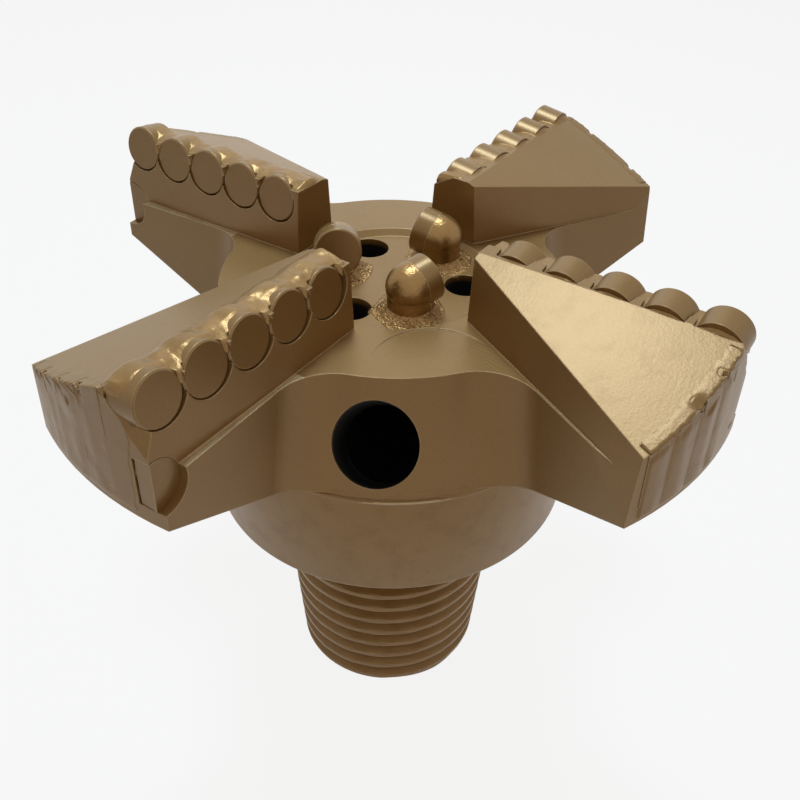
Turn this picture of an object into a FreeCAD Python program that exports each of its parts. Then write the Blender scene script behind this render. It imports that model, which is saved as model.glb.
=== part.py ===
"""A four-wing drag bit with polycrystalline diamond cutters, crown up on its tapered pin.

Millimetres, +Z up, origin at the centre of the pin's nose. One wing lies along +X and its leading
face looks to +Y, because the bit turns anticlockwise seen from above.
"""
import FreeCAD, Part
import math
import os
import re

import Sketcher

WINGS = 4
FACE_CUTTERS = 5
CENTRE_CUTTERS = 3
GAUGE_BARS = 4
THREAD_RINGS = 9

SIZES = {
    # Tapered pin
    "pin_length": 76.2,
    "pin_base_radius": 36.525,
    "pin_nose_radius": 30.175,
    "pin_relief_radius": 32.4,
    "pin_relief_length": 14.2,
    "relief_bevel": 2.0,
    "nose_chamfer": 3.0,
    "bore_radius": 16.0,
    # Coarse thread on the pin
    "thread_pitch": 6.35,
    "thread_depth": 3.1,
    "thread_crest": 1.6,
    "thread_flank": 30.0,
    "thread_clear": 0.5,
    # Collar between the pin's shoulder and the weld seam
    "collar_radius": 55.1,
    "collar_height": 34.1,
    "shoulder_bevel": 1.2,
    "seam_chamfer": 0.8,
    # Plenum inside the head and collar
    "plenum_radius": 27.0,
    "plenum_floor": 12.0,
    "plenum_cone": 13.0,
    "roof_bevel": 8.0,
    "crown_thickness": 17.0,
    # Hub of the head
    "hub_foot_radius": 54.5,
    "hub_top_radius": 49.5,
    "hub_height": 36.4,
    "crown_flat_radius": 30.0,
    "crown_slope": 0.03,
    "recess_rim_radius": 28.5,
    "recess_floor_radius": 26.5,
    "recess_depth": 1.8,
    # Arms that carry the wings, sideways places at their root and tip
    "arm_root": 30.0,
    "turning_stock": 2.0,
    "arm_lead_root": 7.9,
    "arm_lead_tip": 10.3,
    "arm_trail_root": 9.9,
    "arm_trail_tip": 45.3,
    "underside_slope": 0.467,
    "arm_fillet": 15.0,
    "junction_play": 1.0,
    "gauge_radius": 100.0,
    # Wings on the arms
    "wing_root": 29.5,
    "wing_foot": 2.5,
    "wing_lead_foot": 7.85,
    "wing_lead_top": 6.5,
    "wing_trail_root": 8.7,
    "wing_trail_tip": 45.2,
    "wing_trail_draft": 1.6,
    "strip_root_height": 19.2,
    "strip_tip_height": 18.4,
    "strip_root_edge": 5.0,
    "strip_tip_edge": 2.6,
    "relief_slope": 0.385,
    # Face cutters along each wing
    "cutter_diameter": 13.44,
    "cutter_length": 8.0,
    "cutter_chamfer": 0.4,
    "cutter_rake": 8.0,
    "cutter_gap": 0.26,
    "cutter_drop": 0.2,
    "cutter_height": 15.3,
    "cutter_lead": 5.9,
    "braze_gap": 0.06,
    "pocket_shift": 0.4,
    "pocket_turn": 40.0,
    "pocket_back_gap": 0.7,
    "pocket_run_out": 5.0,
    # Corner ground away round the outermost cutter
    "corner_turn": 29.6,
    "corner_tilt": 21.5,
    "corner_stand": 1.65,
    "corner_reach": 20.0,
    # Trimmers, the gauge cutters ground flush with the gauge
    "trimmer_inset": 1.4,
    "trimmer_below": 4.0,
    "trimmer_length": 4.5,
    "trimmer_lead": 7.6,
    # Gauge bars
    "bar_width": 6.0,
    "bar_thickness": 3.0,
    "bar_proud": 0.15,
    "bar_first_angle": 4.5,
    "bar_step_angle": 5.2,
    "bar_foot": 5.0,
    "bar_setback": 0.2,
    # Side ports
    "port_radius": 11.3,
    "port_rise": 40.0,
    "port_turn": 30.0,
    "port_height": 16.4,
    "port_start": 16.0,
    "port_run_out": 8.0,
    # Nozzle holes in the crown
    "nozzle_radius": 5.85,
    "nozzle_place": 20.1,
    "nozzle_turn": 28.0,
    # Posts of the centre cutters
    "post_place": 16.15,
    "post_turn": 100.5,
    "post_socket": 5.0,
    "stem_radius": 6.3,
    "stem_height": 8.0,
    "post_rake": 12.0,
    "post_reach": 6.8,
    "post_cutter_length": 5.0,
    "weld_width": 2.6,
    "weld_height": 2.0,
}

DERIVED = {
    "seam_height": "pin_length + collar_height",
    "crown_height": "pin_length + collar_height + hub_height",
    "floor_height": "pin_length + collar_height + hub_height - recess_depth",
    "pin_taper": "(pin_base_radius - pin_nose_radius) / pin_length",
    "thread_mouth": "thread_pitch - thread_crest",
    "plenum_bottom": "pin_length + plenum_floor",
    "plenum_top": "pin_length + collar_height + hub_height - recess_depth - crown_thickness",
    "blank_radius": "gauge_radius + turning_stock",
    "tip_drop": "crown_slope * (gauge_radius + turning_stock - crown_flat_radius)",
    "stock_radius": "sqrt((gauge_radius + turning_stock) ^ 2 + arm_trail_tip ^ 2) + turning_stock",
    "cutter_radius": "cutter_diameter / 2",
    "cutter_pitch": "cutter_diameter + cutter_gap",
    "seat_radius": "cutter_diameter / 2 + braze_gap",
    "pocket_radius": "cutter_diameter / 2 + braze_gap + pocket_shift",
    "trimmer_place": "gauge_radius - trimmer_inset",
    "port_place": "hub_foot_radius - (hub_foot_radius - hub_top_radius) * port_height / hub_height",
    "gauge_underside": "pin_length + collar_height + underside_slope * (gauge_radius - hub_foot_radius)",
}

doc = FreeCAD.newDocument("drag_bit")
sheet = doc.addObject("Spreadsheet::Sheet", "sizes")


def fill_sheet():
    """Writes each size to a cell of its own, with its alias."""
    cells = [(alias, str(value)) for alias, value in SIZES.items()]
    cells += [(alias, "=" + formula) for alias, formula in DERIVED.items()]
    for row, (alias, content) in enumerate(cells, start=1):
        sheet.set(f"A{row}", alias)
        sheet.set(f"B{row}", content)
        sheet.setAlias(f"B{row}", alias)
    doc.recompute()


def sized(formula):
    """A formula of plain size names, as an expression that reads the sheet."""
    words = set(SIZES) | set(DERIVED)
    pieces = re.split(r"(\w+)", formula)
    return "".join("sizes." + piece if piece in words else piece for piece in pieces)


def value(formula):
    """The number that a formula of size names gives."""
    return float(sheet.evalExpression(formula))


def new_body(label):
    body = doc.addObject("PartDesign::Body", label)
    body.Label = label
    return body


def datum(body, role):
    """One of the body's own origin planes or axes."""
    return next(feature for feature in body.Origin.OriginFeatures if feature.Role == role)


def hold(sketch, kind, line, end, formula):
    """Holds one end of a line at a formula's distance from the sketch's origin."""
    index = sketch.addConstraint(Sketcher.Constraint(kind, -1, 1, line, end, value(formula)))
    sketch.setExpression(f"Constraints[{index}]", sized(formula))


def new_sketch(body, name, plane, offset="0", lift="0", turn="0"):
    """An empty sketch on an origin plane, moved off the plane, up it, and turned on it."""
    sketch = body.newObject("Sketcher::SketchObject", name)
    sketch.AttachmentSupport = [(datum(body, plane), "")]
    sketch.MapMode = "FlatFace"
    move = f"create(<<vector>>; 0; {sized(lift)}; {sized(offset)})"
    spin = f"create(<<rotation>>; {sized(turn)}; 0; 0)"
    sketch.setExpression("AttachmentOffset", f"create(<<placement>>; {move}; {spin})")
    sketch.Visibility = False
    return sketch


def outline(body, name, plane, corners, offset="0"):
    """A closed sketch of straight lines, whose corners are pairs of formulas."""
    sketch = new_sketch(body, name, plane, offset)
    points = [FreeCAD.Vector(value(u), value(v), 0) for u, v in corners]
    count = len(points)
    for line in range(count):
        sketch.addGeometry(Part.LineSegment(points[line], points[(line + 1) % count]))
    for line, (u, v) in enumerate(corners):
        sketch.addConstraint(Sketcher.Constraint("Coincident", line, 2, (line + 1) % count, 1))
        hold(sketch, "DistanceX", line, 1, u)
        hold(sketch, "DistanceY", line, 1, v)
    return sketch


def disc(body, name, radius):
    """A sketch of one circle round the body's Z axis."""
    sketch = new_sketch(body, name, "XY_Plane")
    sketch.addGeometry(Part.Circle(FreeCAD.Vector(), FreeCAD.Vector(0, 0, 1), value(radius)))
    sketch.addConstraint(Sketcher.Constraint("Coincident", 0, 3, -1, 1))
    index = sketch.addConstraint(Sketcher.Constraint("Radius", 0, value(radius)))
    sketch.setExpression(f"Constraints[{index}]", sized(radius))
    return sketch


def turned(body, name, corners, kind="PartDesign::Revolution"):
    """A profile in the XZ plane turned round the Z axis, as material or as a cut."""
    feature = body.newObject(kind, name)
    feature.Profile = outline(body, name + "_profile", "XZ_Plane", corners)
    feature.ReferenceAxis = (feature.Profile[0], ["V_Axis"])
    feature.Angle = 360
    return feature


def padded(body, name, profile, length):
    feature = body.newObject("PartDesign::Pad", name)
    feature.Profile = profile
    feature.setExpression("Length", sized(length))
    return feature


def placement(point, angles=("0", "0", "0")):
    """An expression for a placement: a point, then yaw, pitch and roll in degrees."""
    vector = "; ".join(sized(formula) for formula in point)
    rotation = "; ".join(sized(formula) for formula in angles)
    return f"create(<<placement>>; create(<<vector>>; {vector}); create(<<rotation>>; {rotation}))"


def drilled(body, name, radius, height, where):
    feature = body.newObject("PartDesign::SubtractiveCylinder", name)
    feature.setExpression("Radius", sized(radius))
    feature.setExpression("Height", sized(height))
    feature.setExpression("Placement", where)
    return feature


def milled(body, name, length, width, height, where):
    feature = body.newObject("PartDesign::SubtractiveBox", name)
    feature.setExpression("Length", sized(length))
    feature.setExpression("Width", sized(width))
    feature.setExpression("Height", sized(height))
    feature.setExpression("Placement", where)
    return feature


def repeated(body, name, originals, count):
    """Copies features round the Z axis."""
    pattern = body.newObject("PartDesign::PolarPattern", name)
    pattern.Originals = originals
    pattern.Axis = (datum(body, "Z_Axis"), [""])
    pattern.Angle = 360
    pattern.Occurrences = count
    body.Tip = pattern
    doc.recompute()
    return pattern


def wing_turn(wing):
    return f"{360 / WINGS} * {wing}"


def about_axis(angle, along, across):
    """X and Y formulas of a point that lies along and across a direction at an angle."""
    x = f"({along}) * cos(({angle}) * 1 deg) - ({across}) * sin(({angle}) * 1 deg)"
    y = f"({along}) * sin(({angle}) * 1 deg) + ({across}) * cos(({angle}) * 1 deg)"
    return x, y


def face_cutter_back(wing, place, gap="0", shift="0"):
    """Where the back of a face cutter or its pocket is, shifted inward and down, and which way it points."""
    depth = f"(cutter_length + {gap})"
    along = f"gauge_radius - cutter_radius - {place} * cutter_pitch - {shift} * cos(pocket_turn * 1 deg)"
    across = f"cutter_lead - {depth} * cos(cutter_rake * 1 deg)"
    x, y = about_axis(wing_turn(wing), along, across)
    sunk = f"{place} * cutter_drop + {shift} * sin(pocket_turn * 1 deg)"
    z = f"crown_height + cutter_height - {sunk} - {depth} * sin(cutter_rake * 1 deg)"
    return placement((x, y, z), (wing_turn(wing), "0", "cutter_rake - 90"))


def trimmer_back(wing, gap="0"):
    """Where the back of a trimmer's seat is, and which way it points."""
    x, y = about_axis(wing_turn(wing), "trimmer_place", f"trimmer_lead - trimmer_length - {gap}")
    return placement((x, y, "crown_height - trimmer_below"), (wing_turn(wing), "0", "-90"))


def port_axis(port):
    """A side port's start inside the plenum, and its rise outward."""
    angle = f"({wing_turn(port)} + port_turn)"
    x, y = about_axis(angle, "port_start", "0")
    z = "seam_height + port_height - (port_place - port_start) * tan(port_rise * 1 deg)"
    return placement((x, y, z), (angle, "90 - port_rise", "0"))


def drill_ports(body):
    length = "(hub_foot_radius + port_run_out - port_start) / cos(port_rise * 1 deg)"
    port = drilled(body, body.Label + "_port", "port_radius", length, port_axis(0))
    repeated(body, body.Label + "_ports", [port], WINGS)


def post_turn(post):
    return f"(post_turn + {360 / CENTRE_CUTTERS} * {post})"


def post_foot(post):
    """X and Y formulas of the middle of a centre post's stem."""
    return about_axis(post_turn(post), "post_place", "-post_reach * cos(post_rake * 1 deg)")


def add_hub(body):
    """The hub with its plenum, before the arms and the crown are turned."""
    return turned(body, "hub", [
        ("plenum_radius", "seam_height"),
        ("hub_foot_radius", "seam_height"),
        ("hub_top_radius", "crown_height"),
        ("0", "crown_height"),
        ("0", "plenum_top"),
        ("plenum_radius - roof_bevel", "plenum_top"),
        ("plenum_radius", "plenum_top - roof_bevel"),
    ])


def add_arms(body):
    """Four wedge arms, joined to the hub by upright fillets, and their turned underside and top."""
    plan = outline(body, "arm_plan", "XY_Plane", [
        ("arm_root", "-arm_trail_root"),
        ("blank_radius", "-arm_trail_tip"),
        ("blank_radius", "arm_lead_tip"),
        ("arm_root", "arm_lead_root"),
    ], "seam_height")
    arm = padded(body, "arm", plan, "hub_height")
    arms = repeated(body, "arms", [arm], WINGS)
    fillet = body.newObject("PartDesign::Fillet", "arm_roots")
    fillet.Base = (arms, junction_edges(arms.Shape))
    fillet.setExpression("Radius", sized("arm_fillet"))
    body.Tip = fillet
    turned(body, "underside_turning", [
        ("hub_foot_radius", "seam_height"),
        ("stock_radius", "seam_height + underside_slope * (stock_radius - hub_foot_radius)"),
        ("stock_radius", "seam_height - turning_stock"),
        ("hub_foot_radius", "seam_height - turning_stock"),
    ], "PartDesign::Groove")
    turned(body, "crown_turning", [
        ("crown_flat_radius", "crown_height"),
        ("stock_radius", "crown_height - crown_slope * (stock_radius - crown_flat_radius)"),
        ("stock_radius", "crown_height + turning_stock"),
        ("crown_flat_radius", "crown_height + turning_stock"),
    ], "PartDesign::Groove")


def junction_edges(shape):
    """Names of the upright edges where the arms leave the hub."""
    found = []
    inner = value("hub_top_radius - junction_play")
    outer = value("hub_foot_radius + junction_play")
    for number, edge in enumerate(shape.Edges, start=1):
        ends = [vertex.Point for vertex in edge.Vertexes]
        if len(ends) == 2 and abs(ends[0].z - ends[1].z) > value("hub_height") / 2:
            radii = [math.hypot(point.x, point.y) for point in ends]
            if inner < min(radii) and max(radii) < outer:
                found.append(f"Edge{number}")
    return found


def wing_section(body, name, place, edge, strip, trail, drop):
    """Cross-section of a wing: leaning leading face, level strip, relieved top, drafted back."""
    foot = f"crown_height - wing_foot - {drop}"
    return outline(body, name, "YZ_Plane", [
        (f"-{trail}", foot),
        ("wing_lead_foot", foot),
        ("wing_lead_top", f"crown_height + {strip}"),
        (f"-{edge}", f"crown_height + {strip}"),
        (f"wing_trail_draft - {trail}",
         f"crown_height + {strip} - relief_slope * ({trail} - wing_trail_draft - {edge})"),
    ], place)


def add_wings(body):
    """Four wings lofted from a thin root to a broad tip, then turned to the gauge."""
    wing = body.newObject("PartDesign::AdditiveLoft", "wing")
    wing.Profile = wing_section(
        body, "wing_root_section", "wing_root", "strip_root_edge", "strip_root_height", "wing_trail_root", "0")
    wing.Sections = [wing_section(
        body, "wing_tip_section", "blank_radius", "strip_tip_edge", "strip_tip_height", "wing_trail_tip", "tip_drop")]
    wing.Ruled = True
    repeated(body, "wings", [wing], WINGS)
    turned(body, "gauge_turning", [
        ("gauge_radius", "seam_height - turning_stock"),
        ("stock_radius", "seam_height - turning_stock"),
        ("stock_radius", "crown_height + strip_root_height + turning_stock"),
        ("gauge_radius", "crown_height + strip_root_height + turning_stock"),
    ], "PartDesign::Groove")


def cut_seats(body):
    """The ground outer corner, and the seats of the face cutters, the trimmer and the gauge bars."""
    corner = placement(
        ("gauge_radius - cutter_radius", "cutter_lead", "crown_height + cutter_height"),
        ("corner_turn", "-corner_tilt", "0"))
    step = placement(("corner_stand", "-corner_reach", "-corner_reach"))
    sides = ("corner_reach", "2 * corner_reach", "2 * corner_reach")
    repeated(body, "corner_reliefs", [milled(body, "corner_relief", *sides, f"{corner} * {step}")], WINGS)
    for place in range(FACE_CUTTERS):
        height = "cutter_length + pocket_back_gap + pocket_run_out"
        where = face_cutter_back(0, place, "pocket_back_gap", "pocket_shift")
        seat = drilled(body, f"cutter_seat_{place + 1}", "pocket_radius", height, where)
        repeated(body, f"cutter_seats_{place + 1}", [seat], WINGS)
    height = "trimmer_length + pocket_back_gap + pocket_run_out"
    seat = drilled(body, "trimmer_seat", "seat_radius", height, trimmer_back(0, "pocket_back_gap"))
    repeated(body, "trimmer_seats", [seat], WINGS)
    for bar in range(GAUGE_BARS):
        corner = ("gauge_radius - bar_thickness - braze_gap", "-bar_width / 2 - braze_gap",
                  "gauge_underside + bar_foot - braze_gap")
        sides = ("bar_thickness + pocket_run_out", "bar_width + 2 * braze_gap", "crown_height")
        where = f"{placement(('0', '0', '0'), (bar_angle(0, bar), '0', '0'))} * {placement(corner)}"
        slot = milled(body, f"bar_slot_{bar + 1}", *sides, where)
        repeated(body, f"bar_slots_{bar + 1}", [slot], WINGS)


def bar_angle(wing, bar):
    return f"({wing_turn(wing)} - bar_first_angle - {bar} * bar_step_angle)"


def cut_crown(body):
    """The crown's shallow recess, its nozzle holes and the sockets of the centre posts."""
    turned(body, "crown_recess", [
        ("0", "floor_height"),
        ("recess_floor_radius", "floor_height"),
        ("recess_rim_radius", "crown_height"),
        ("recess_rim_radius", "crown_height + turning_stock"),
        ("0", "crown_height + turning_stock"),
    ], "PartDesign::Groove")
    x, y = about_axis("nozzle_turn", "nozzle_place", "0")
    nozzle = drilled(body, "nozzle_hole", "nozzle_radius", "crown_thickness + roof_bevel + recess_depth",
                     placement((x, y, "plenum_top - roof_bevel")))
    x, y = post_foot(0)
    socket = drilled(body, "post_socket_hole", "stem_radius + braze_gap", "post_socket + recess_depth",
                     placement((x, y, "floor_height - post_socket")))
    repeated(body, "crown_holes", [nozzle, socket], CENTRE_CUTTERS)


def make_head():
    body = new_body("bit_head")
    add_hub(body)
    add_arms(body)
    add_wings(body)
    cut_seats(body)
    cut_crown(body)
    drill_ports(body)


def make_pin():
    """The pin and its collar, turned as one piece and welded to the head at the seam."""
    body = new_body("pin_shank")
    turned(body, "pin_turning", [
        ("bore_radius", "0"),
        ("pin_nose_radius - nose_chamfer / 2", "0"),
        ("pin_nose_radius + nose_chamfer * pin_taper", "nose_chamfer"),
        ("pin_base_radius - pin_relief_length * pin_taper", "pin_length - pin_relief_length"),
        ("pin_relief_radius", "pin_length - pin_relief_length + relief_bevel"),
        ("pin_relief_radius", "pin_length"),
        ("collar_radius - shoulder_bevel", "pin_length"),
        ("collar_radius", "pin_length + shoulder_bevel"),
        ("collar_radius", "seam_height - seam_chamfer"),
        ("collar_radius - seam_chamfer", "seam_height"),
        ("plenum_radius", "seam_height"),
        ("plenum_radius", "plenum_bottom"),
        ("bore_radius", "plenum_bottom - plenum_cone"),
    ])
    cut_thread(body)
    drill_ports(body)


def cut_thread(body):
    """The thread's grooves, a ring for each turn, which follow the pin's taper."""
    root = "(thread_mouth / 2 - thread_depth * tan(thread_flank * 1 deg))"
    mouth = "(thread_mouth / 2 + thread_clear * tan(thread_flank * 1 deg))"
    for turn in range(THREAD_RINGS):
        last = "pin_length - pin_relief_length - thread_crest - thread_mouth / 2"
        middle = f"({last} - {turn} * thread_pitch)"
        crest = f"pin_nose_radius + pin_taper * {middle}"
        turned(body, f"thread_groove_{turn + 1}", [
            (f"{crest} - thread_depth", f"{middle} - {root}"),
            (f"{crest} + thread_clear", f"{middle} - {mouth}"),
            (f"{crest} + thread_clear", f"{middle} + {mouth}"),
            (f"{crest} - thread_depth", f"{middle} + {root}"),
        ], "PartDesign::Groove")


def make_cutter(label, length, where):
    """A round cutter: a cylinder with a small chamfer round its diamond face."""
    body = new_body(label)
    table = padded(body, label + "_body", disc(body, label + "_round", "cutter_radius"), length)
    doc.recompute()
    rim = next(number for number, edge in enumerate(table.Shape.Edges, start=1)
               if edge.BoundBox.ZMin > value(length) / 2)
    chamfer = body.newObject("PartDesign::Chamfer", label + "_rim")
    chamfer.Base = (table, [f"Edge{rim}"])
    chamfer.setExpression("Size", sized("cutter_chamfer"))
    body.Tip = chamfer
    body.setExpression("Placement", where)


def make_trimmer(wing):
    """A gauge cutter, round with one side ground away flush with the gauge."""
    label = f"gauge_cutter_{wing + 1}"
    body = new_body(label)
    padded(body, label + "_body", disc(body, label + "_round", "cutter_radius"), "trimmer_length")
    flat = "sqrt(gauge_radius ^ 2 - trimmer_lead ^ 2) - trimmer_place"
    ground = milled(body, label + "_flat", "cutter_diameter", "2 * cutter_diameter", "3 * trimmer_length",
                    placement((flat, "-cutter_diameter", "-trimmer_length")))
    body.Tip = ground
    body.setExpression("Placement", trimmer_back(wing))


def make_bar(wing, bar):
    """A gauge bar, its top cut to the wing's relief."""
    label = f"gauge_bar_{wing + 1}_{bar + 1}"
    body = new_body(label)
    angle = f"(bar_first_angle + {bar} * bar_step_angle)"

    def top(side):
        across = f"(gauge_radius * sin({angle} * 1 deg) - {side} * bar_width / 2)"
        return f"crown_height + strip_tip_height - relief_slope * ({across} - strip_tip_edge) - bar_setback"

    profile = outline(body, label + "_side", "YZ_Plane", [
        ("-bar_width / 2", "gauge_underside + bar_foot"),
        ("bar_width / 2", "gauge_underside + bar_foot"),
        ("bar_width / 2", top("1")),
        ("-bar_width / 2", top("-1")),
    ], "gauge_radius - bar_thickness")
    padded(body, label + "_body", profile, "bar_thickness + bar_proud")
    body.setExpression("Placement", placement(("0", "0", "0"), (bar_angle(wing, bar), "0", "0")))


def make_post(post):
    """A post for a centre cutter: an upright stem under a round-backed holder."""
    label = f"centre_post_{post + 1}"
    body = new_body(label)
    holder = body.newObject("PartDesign::Revolution", label + "_holder")
    holder.Profile = holder_profile(body, label + "_outline")
    holder.ReferenceAxis = (holder.Profile[0], ["H_Axis"])
    holder.Angle = 360
    stem = body.newObject("PartDesign::AdditiveCylinder", label + "_stem")
    stem.setExpression("Radius", sized("stem_radius"))
    stem.setExpression("Height", sized("post_socket + stem_height"))
    stem.setExpression("Placement", placement(("0", "0", "-post_socket")))
    seat = "(post_reach - post_cutter_length)"
    across = f"{seat} * cos(post_rake * 1 deg)"
    rise = f"stem_height + {seat} * sin(post_rake * 1 deg)"
    drilled(body, label + "_seat", "seat_radius", "post_cutter_length + post_reach",
            placement((across, "0", rise), ("0", "90 - post_rake", "0")))
    x, y = post_foot(post)
    body.setExpression("Placement", placement((x, y, "floor_height"), (f"{post_turn(post)} + 90", "0", "0")))


def holder_profile(body, name):
    """Half outline of the holder: a quarter round behind, a straight top, a flat seat in front."""
    sketch = new_sketch(body, name, "XZ_Plane", lift="stem_height", turn="post_rake")
    radius = value("cutter_radius")
    seat = value("post_reach - post_cutter_length")
    corners = [FreeCAD.Vector(*point, 0) for point in ((-radius, 0), (seat, 0), (seat, radius), (0, radius))]
    circle = Part.Circle(FreeCAD.Vector(), FreeCAD.Vector(0, 0, 1), radius)
    sketch.addGeometry(Part.ArcOfCircle(circle, math.pi / 2, math.pi))
    for start, end in zip(corners, corners[1:]):
        sketch.addGeometry(Part.LineSegment(start, end))
    sketch.addConstraint(Sketcher.Constraint("Coincident", 0, 3, -1, 1))
    sketch.addConstraint(Sketcher.Constraint("Coincident", 0, 2, 1, 1))
    sketch.addConstraint(Sketcher.Constraint("Coincident", 1, 2, 2, 1))
    sketch.addConstraint(Sketcher.Constraint("Coincident", 2, 2, 3, 1))
    sketch.addConstraint(Sketcher.Constraint("Tangent", 3, 2, 0, 1))
    sketch.addConstraint(Sketcher.Constraint("PointOnObject", 1, 1, -1))
    sketch.addConstraint(Sketcher.Constraint("PointOnObject", 2, 1, -1))
    sketch.addConstraint(Sketcher.Constraint("Vertical", 2))
    sketch.addConstraint(Sketcher.Constraint("Horizontal", 3))
    hold(sketch, "DistanceX", 2, 1, "post_reach - post_cutter_length")
    index = sketch.addConstraint(Sketcher.Constraint("Radius", 0, radius))
    sketch.setExpression(f"Constraints[{index}]", sized("cutter_radius"))
    return sketch


def make_weld(post):
    """The weld bead round the foot of a centre post."""
    label = f"post_weld_{post + 1}"
    body = new_body(label)
    turned(body, label + "_bead", [
        ("stem_radius", "0"),
        ("stem_radius + weld_width", "0"),
        ("stem_radius + weld_width / 2", "weld_height * 0.7"),
        ("stem_radius", "weld_height"),
    ])
    x, y = post_foot(post)
    body.setExpression("Placement", placement((x, y, "floor_height")))


def centre_cutter_back(post):
    """Where a centre cutter sits on its post, and which way it points."""
    seat = "(post_reach - post_cutter_length)"
    across = f"(-post_reach + {seat}) * cos(post_rake * 1 deg)"
    x, y = about_axis(post_turn(post), "post_place", across)
    z = f"floor_height + stem_height + {seat} * sin(post_rake * 1 deg)"
    return placement((x, y, z), (f"{post_turn(post)} + 90", "90 - post_rake", "0"))


def make_cutters():
    for wing in range(WINGS):
        for place in range(FACE_CUTTERS):
            make_cutter(f"face_cutter_{wing + 1}_{place + 1}", "cutter_length", face_cutter_back(wing, place))
        make_trimmer(wing)
        for bar in range(GAUGE_BARS):
            make_bar(wing, bar)
    for post in range(CENTRE_CUTTERS):
        make_post(post)
        make_weld(post)
        make_cutter(f"centre_cutter_{post + 1}", "post_cutter_length", centre_cutter_back(post))


def export_parts():
    """Checks every object and writes each body to its own file."""
    doc.recompute()
    for thing in doc.Objects:
        if "Invalid" in thing.State or "Error" in thing.State:
            raise RuntimeError(f"{thing.Label} is {thing.State}")
    bodies = [thing for thing in doc.Objects if thing.TypeId == "PartDesign::Body"]
    for body in bodies:
        if body.Shape.isNull() or not body.Shape.isValid() or len(body.Shape.Solids) != 1:
            raise RuntimeError(f"{body.Label} isn't one sound solid")
    os.makedirs("parts", exist_ok=True)
    for body in bodies:
        body.Shape.exportStep(f"parts/{body.Label}.step")


fill_sheet()
make_head()
make_pin()
make_cutters()
export_parts()
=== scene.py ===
import math

import bmesh
import bpy
from mathutils import Matrix, Vector, noise
from mathutils.bvhtree import BVHTree
from mathutils.geometry import barycentric_transform


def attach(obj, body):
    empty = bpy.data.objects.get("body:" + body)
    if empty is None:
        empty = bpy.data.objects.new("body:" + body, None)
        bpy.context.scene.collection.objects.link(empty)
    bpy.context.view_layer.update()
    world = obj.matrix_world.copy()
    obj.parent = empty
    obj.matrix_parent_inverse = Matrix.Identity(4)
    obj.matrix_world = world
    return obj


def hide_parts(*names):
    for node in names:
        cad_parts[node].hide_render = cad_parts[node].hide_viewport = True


bl_info = {
    "name": "Drag bit dressing",
    "version": (1, 1, 0),
    "blender": (4, 5, 0),
    "location": "3D View > Sidebar > Drag Bit",
    "description": "Paint, braze, welds, thread and studio for a four-winged drag bit",
    "category": "Object",
}

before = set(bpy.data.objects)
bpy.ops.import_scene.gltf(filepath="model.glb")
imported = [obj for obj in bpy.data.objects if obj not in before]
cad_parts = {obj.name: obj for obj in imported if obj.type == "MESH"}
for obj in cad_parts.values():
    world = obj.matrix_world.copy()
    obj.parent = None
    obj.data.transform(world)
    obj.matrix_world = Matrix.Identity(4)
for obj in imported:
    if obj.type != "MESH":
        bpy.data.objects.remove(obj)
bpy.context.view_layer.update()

MM = 0.001
WINGS = 4
FACE_CUTTERS = 5
POSTS = 3
BODY = "root"


# Settings that a user would change


class PaintSettings(bpy.types.PropertyGroup):
    """Colours and gloss of the bronze spray paint."""

    shade: bpy.props.FloatVectorProperty(
        name="Paint", description="Colour of the paint where it is thick", subtype="COLOR", size=3,
        min=0, max=1, default=(0.285, 0.165, 0.058))
    pale: bpy.props.FloatVectorProperty(
        name="Pale paint", description="Colour where the paint is thin", subtype="COLOR",
        size=3, min=0, max=1, default=(0.34, 0.203, 0.083))
    # Edge colour: part wear, part painted highlight along the rounded edges
    edge_wear_and_highlight: bpy.props.FloatVectorProperty(
        name="Edge wear and highlight", description="Colour of the edges, where the flake lies bright", subtype="COLOR",
        size=3, min=0, max=1, default=(0.62, 0.48, 0.29))
    flake: bpy.props.FloatVectorProperty(
        name="Flake", description="Tint of the paint's metal flake", subtype="COLOR", size=3,
        min=0, max=1, default=(1.0, 0.96, 0.90))
    metal: bpy.props.FloatProperty(
        name="Metal", description="Share of metal flake in the paint", subtype="FACTOR", min=0, max=1,
        default=0.22)
    roughness: bpy.props.FloatProperty(
        name="Roughness", description="Roughness of the dry paint", subtype="FACTOR", min=0, max=1,
        default=0.37)


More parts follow.
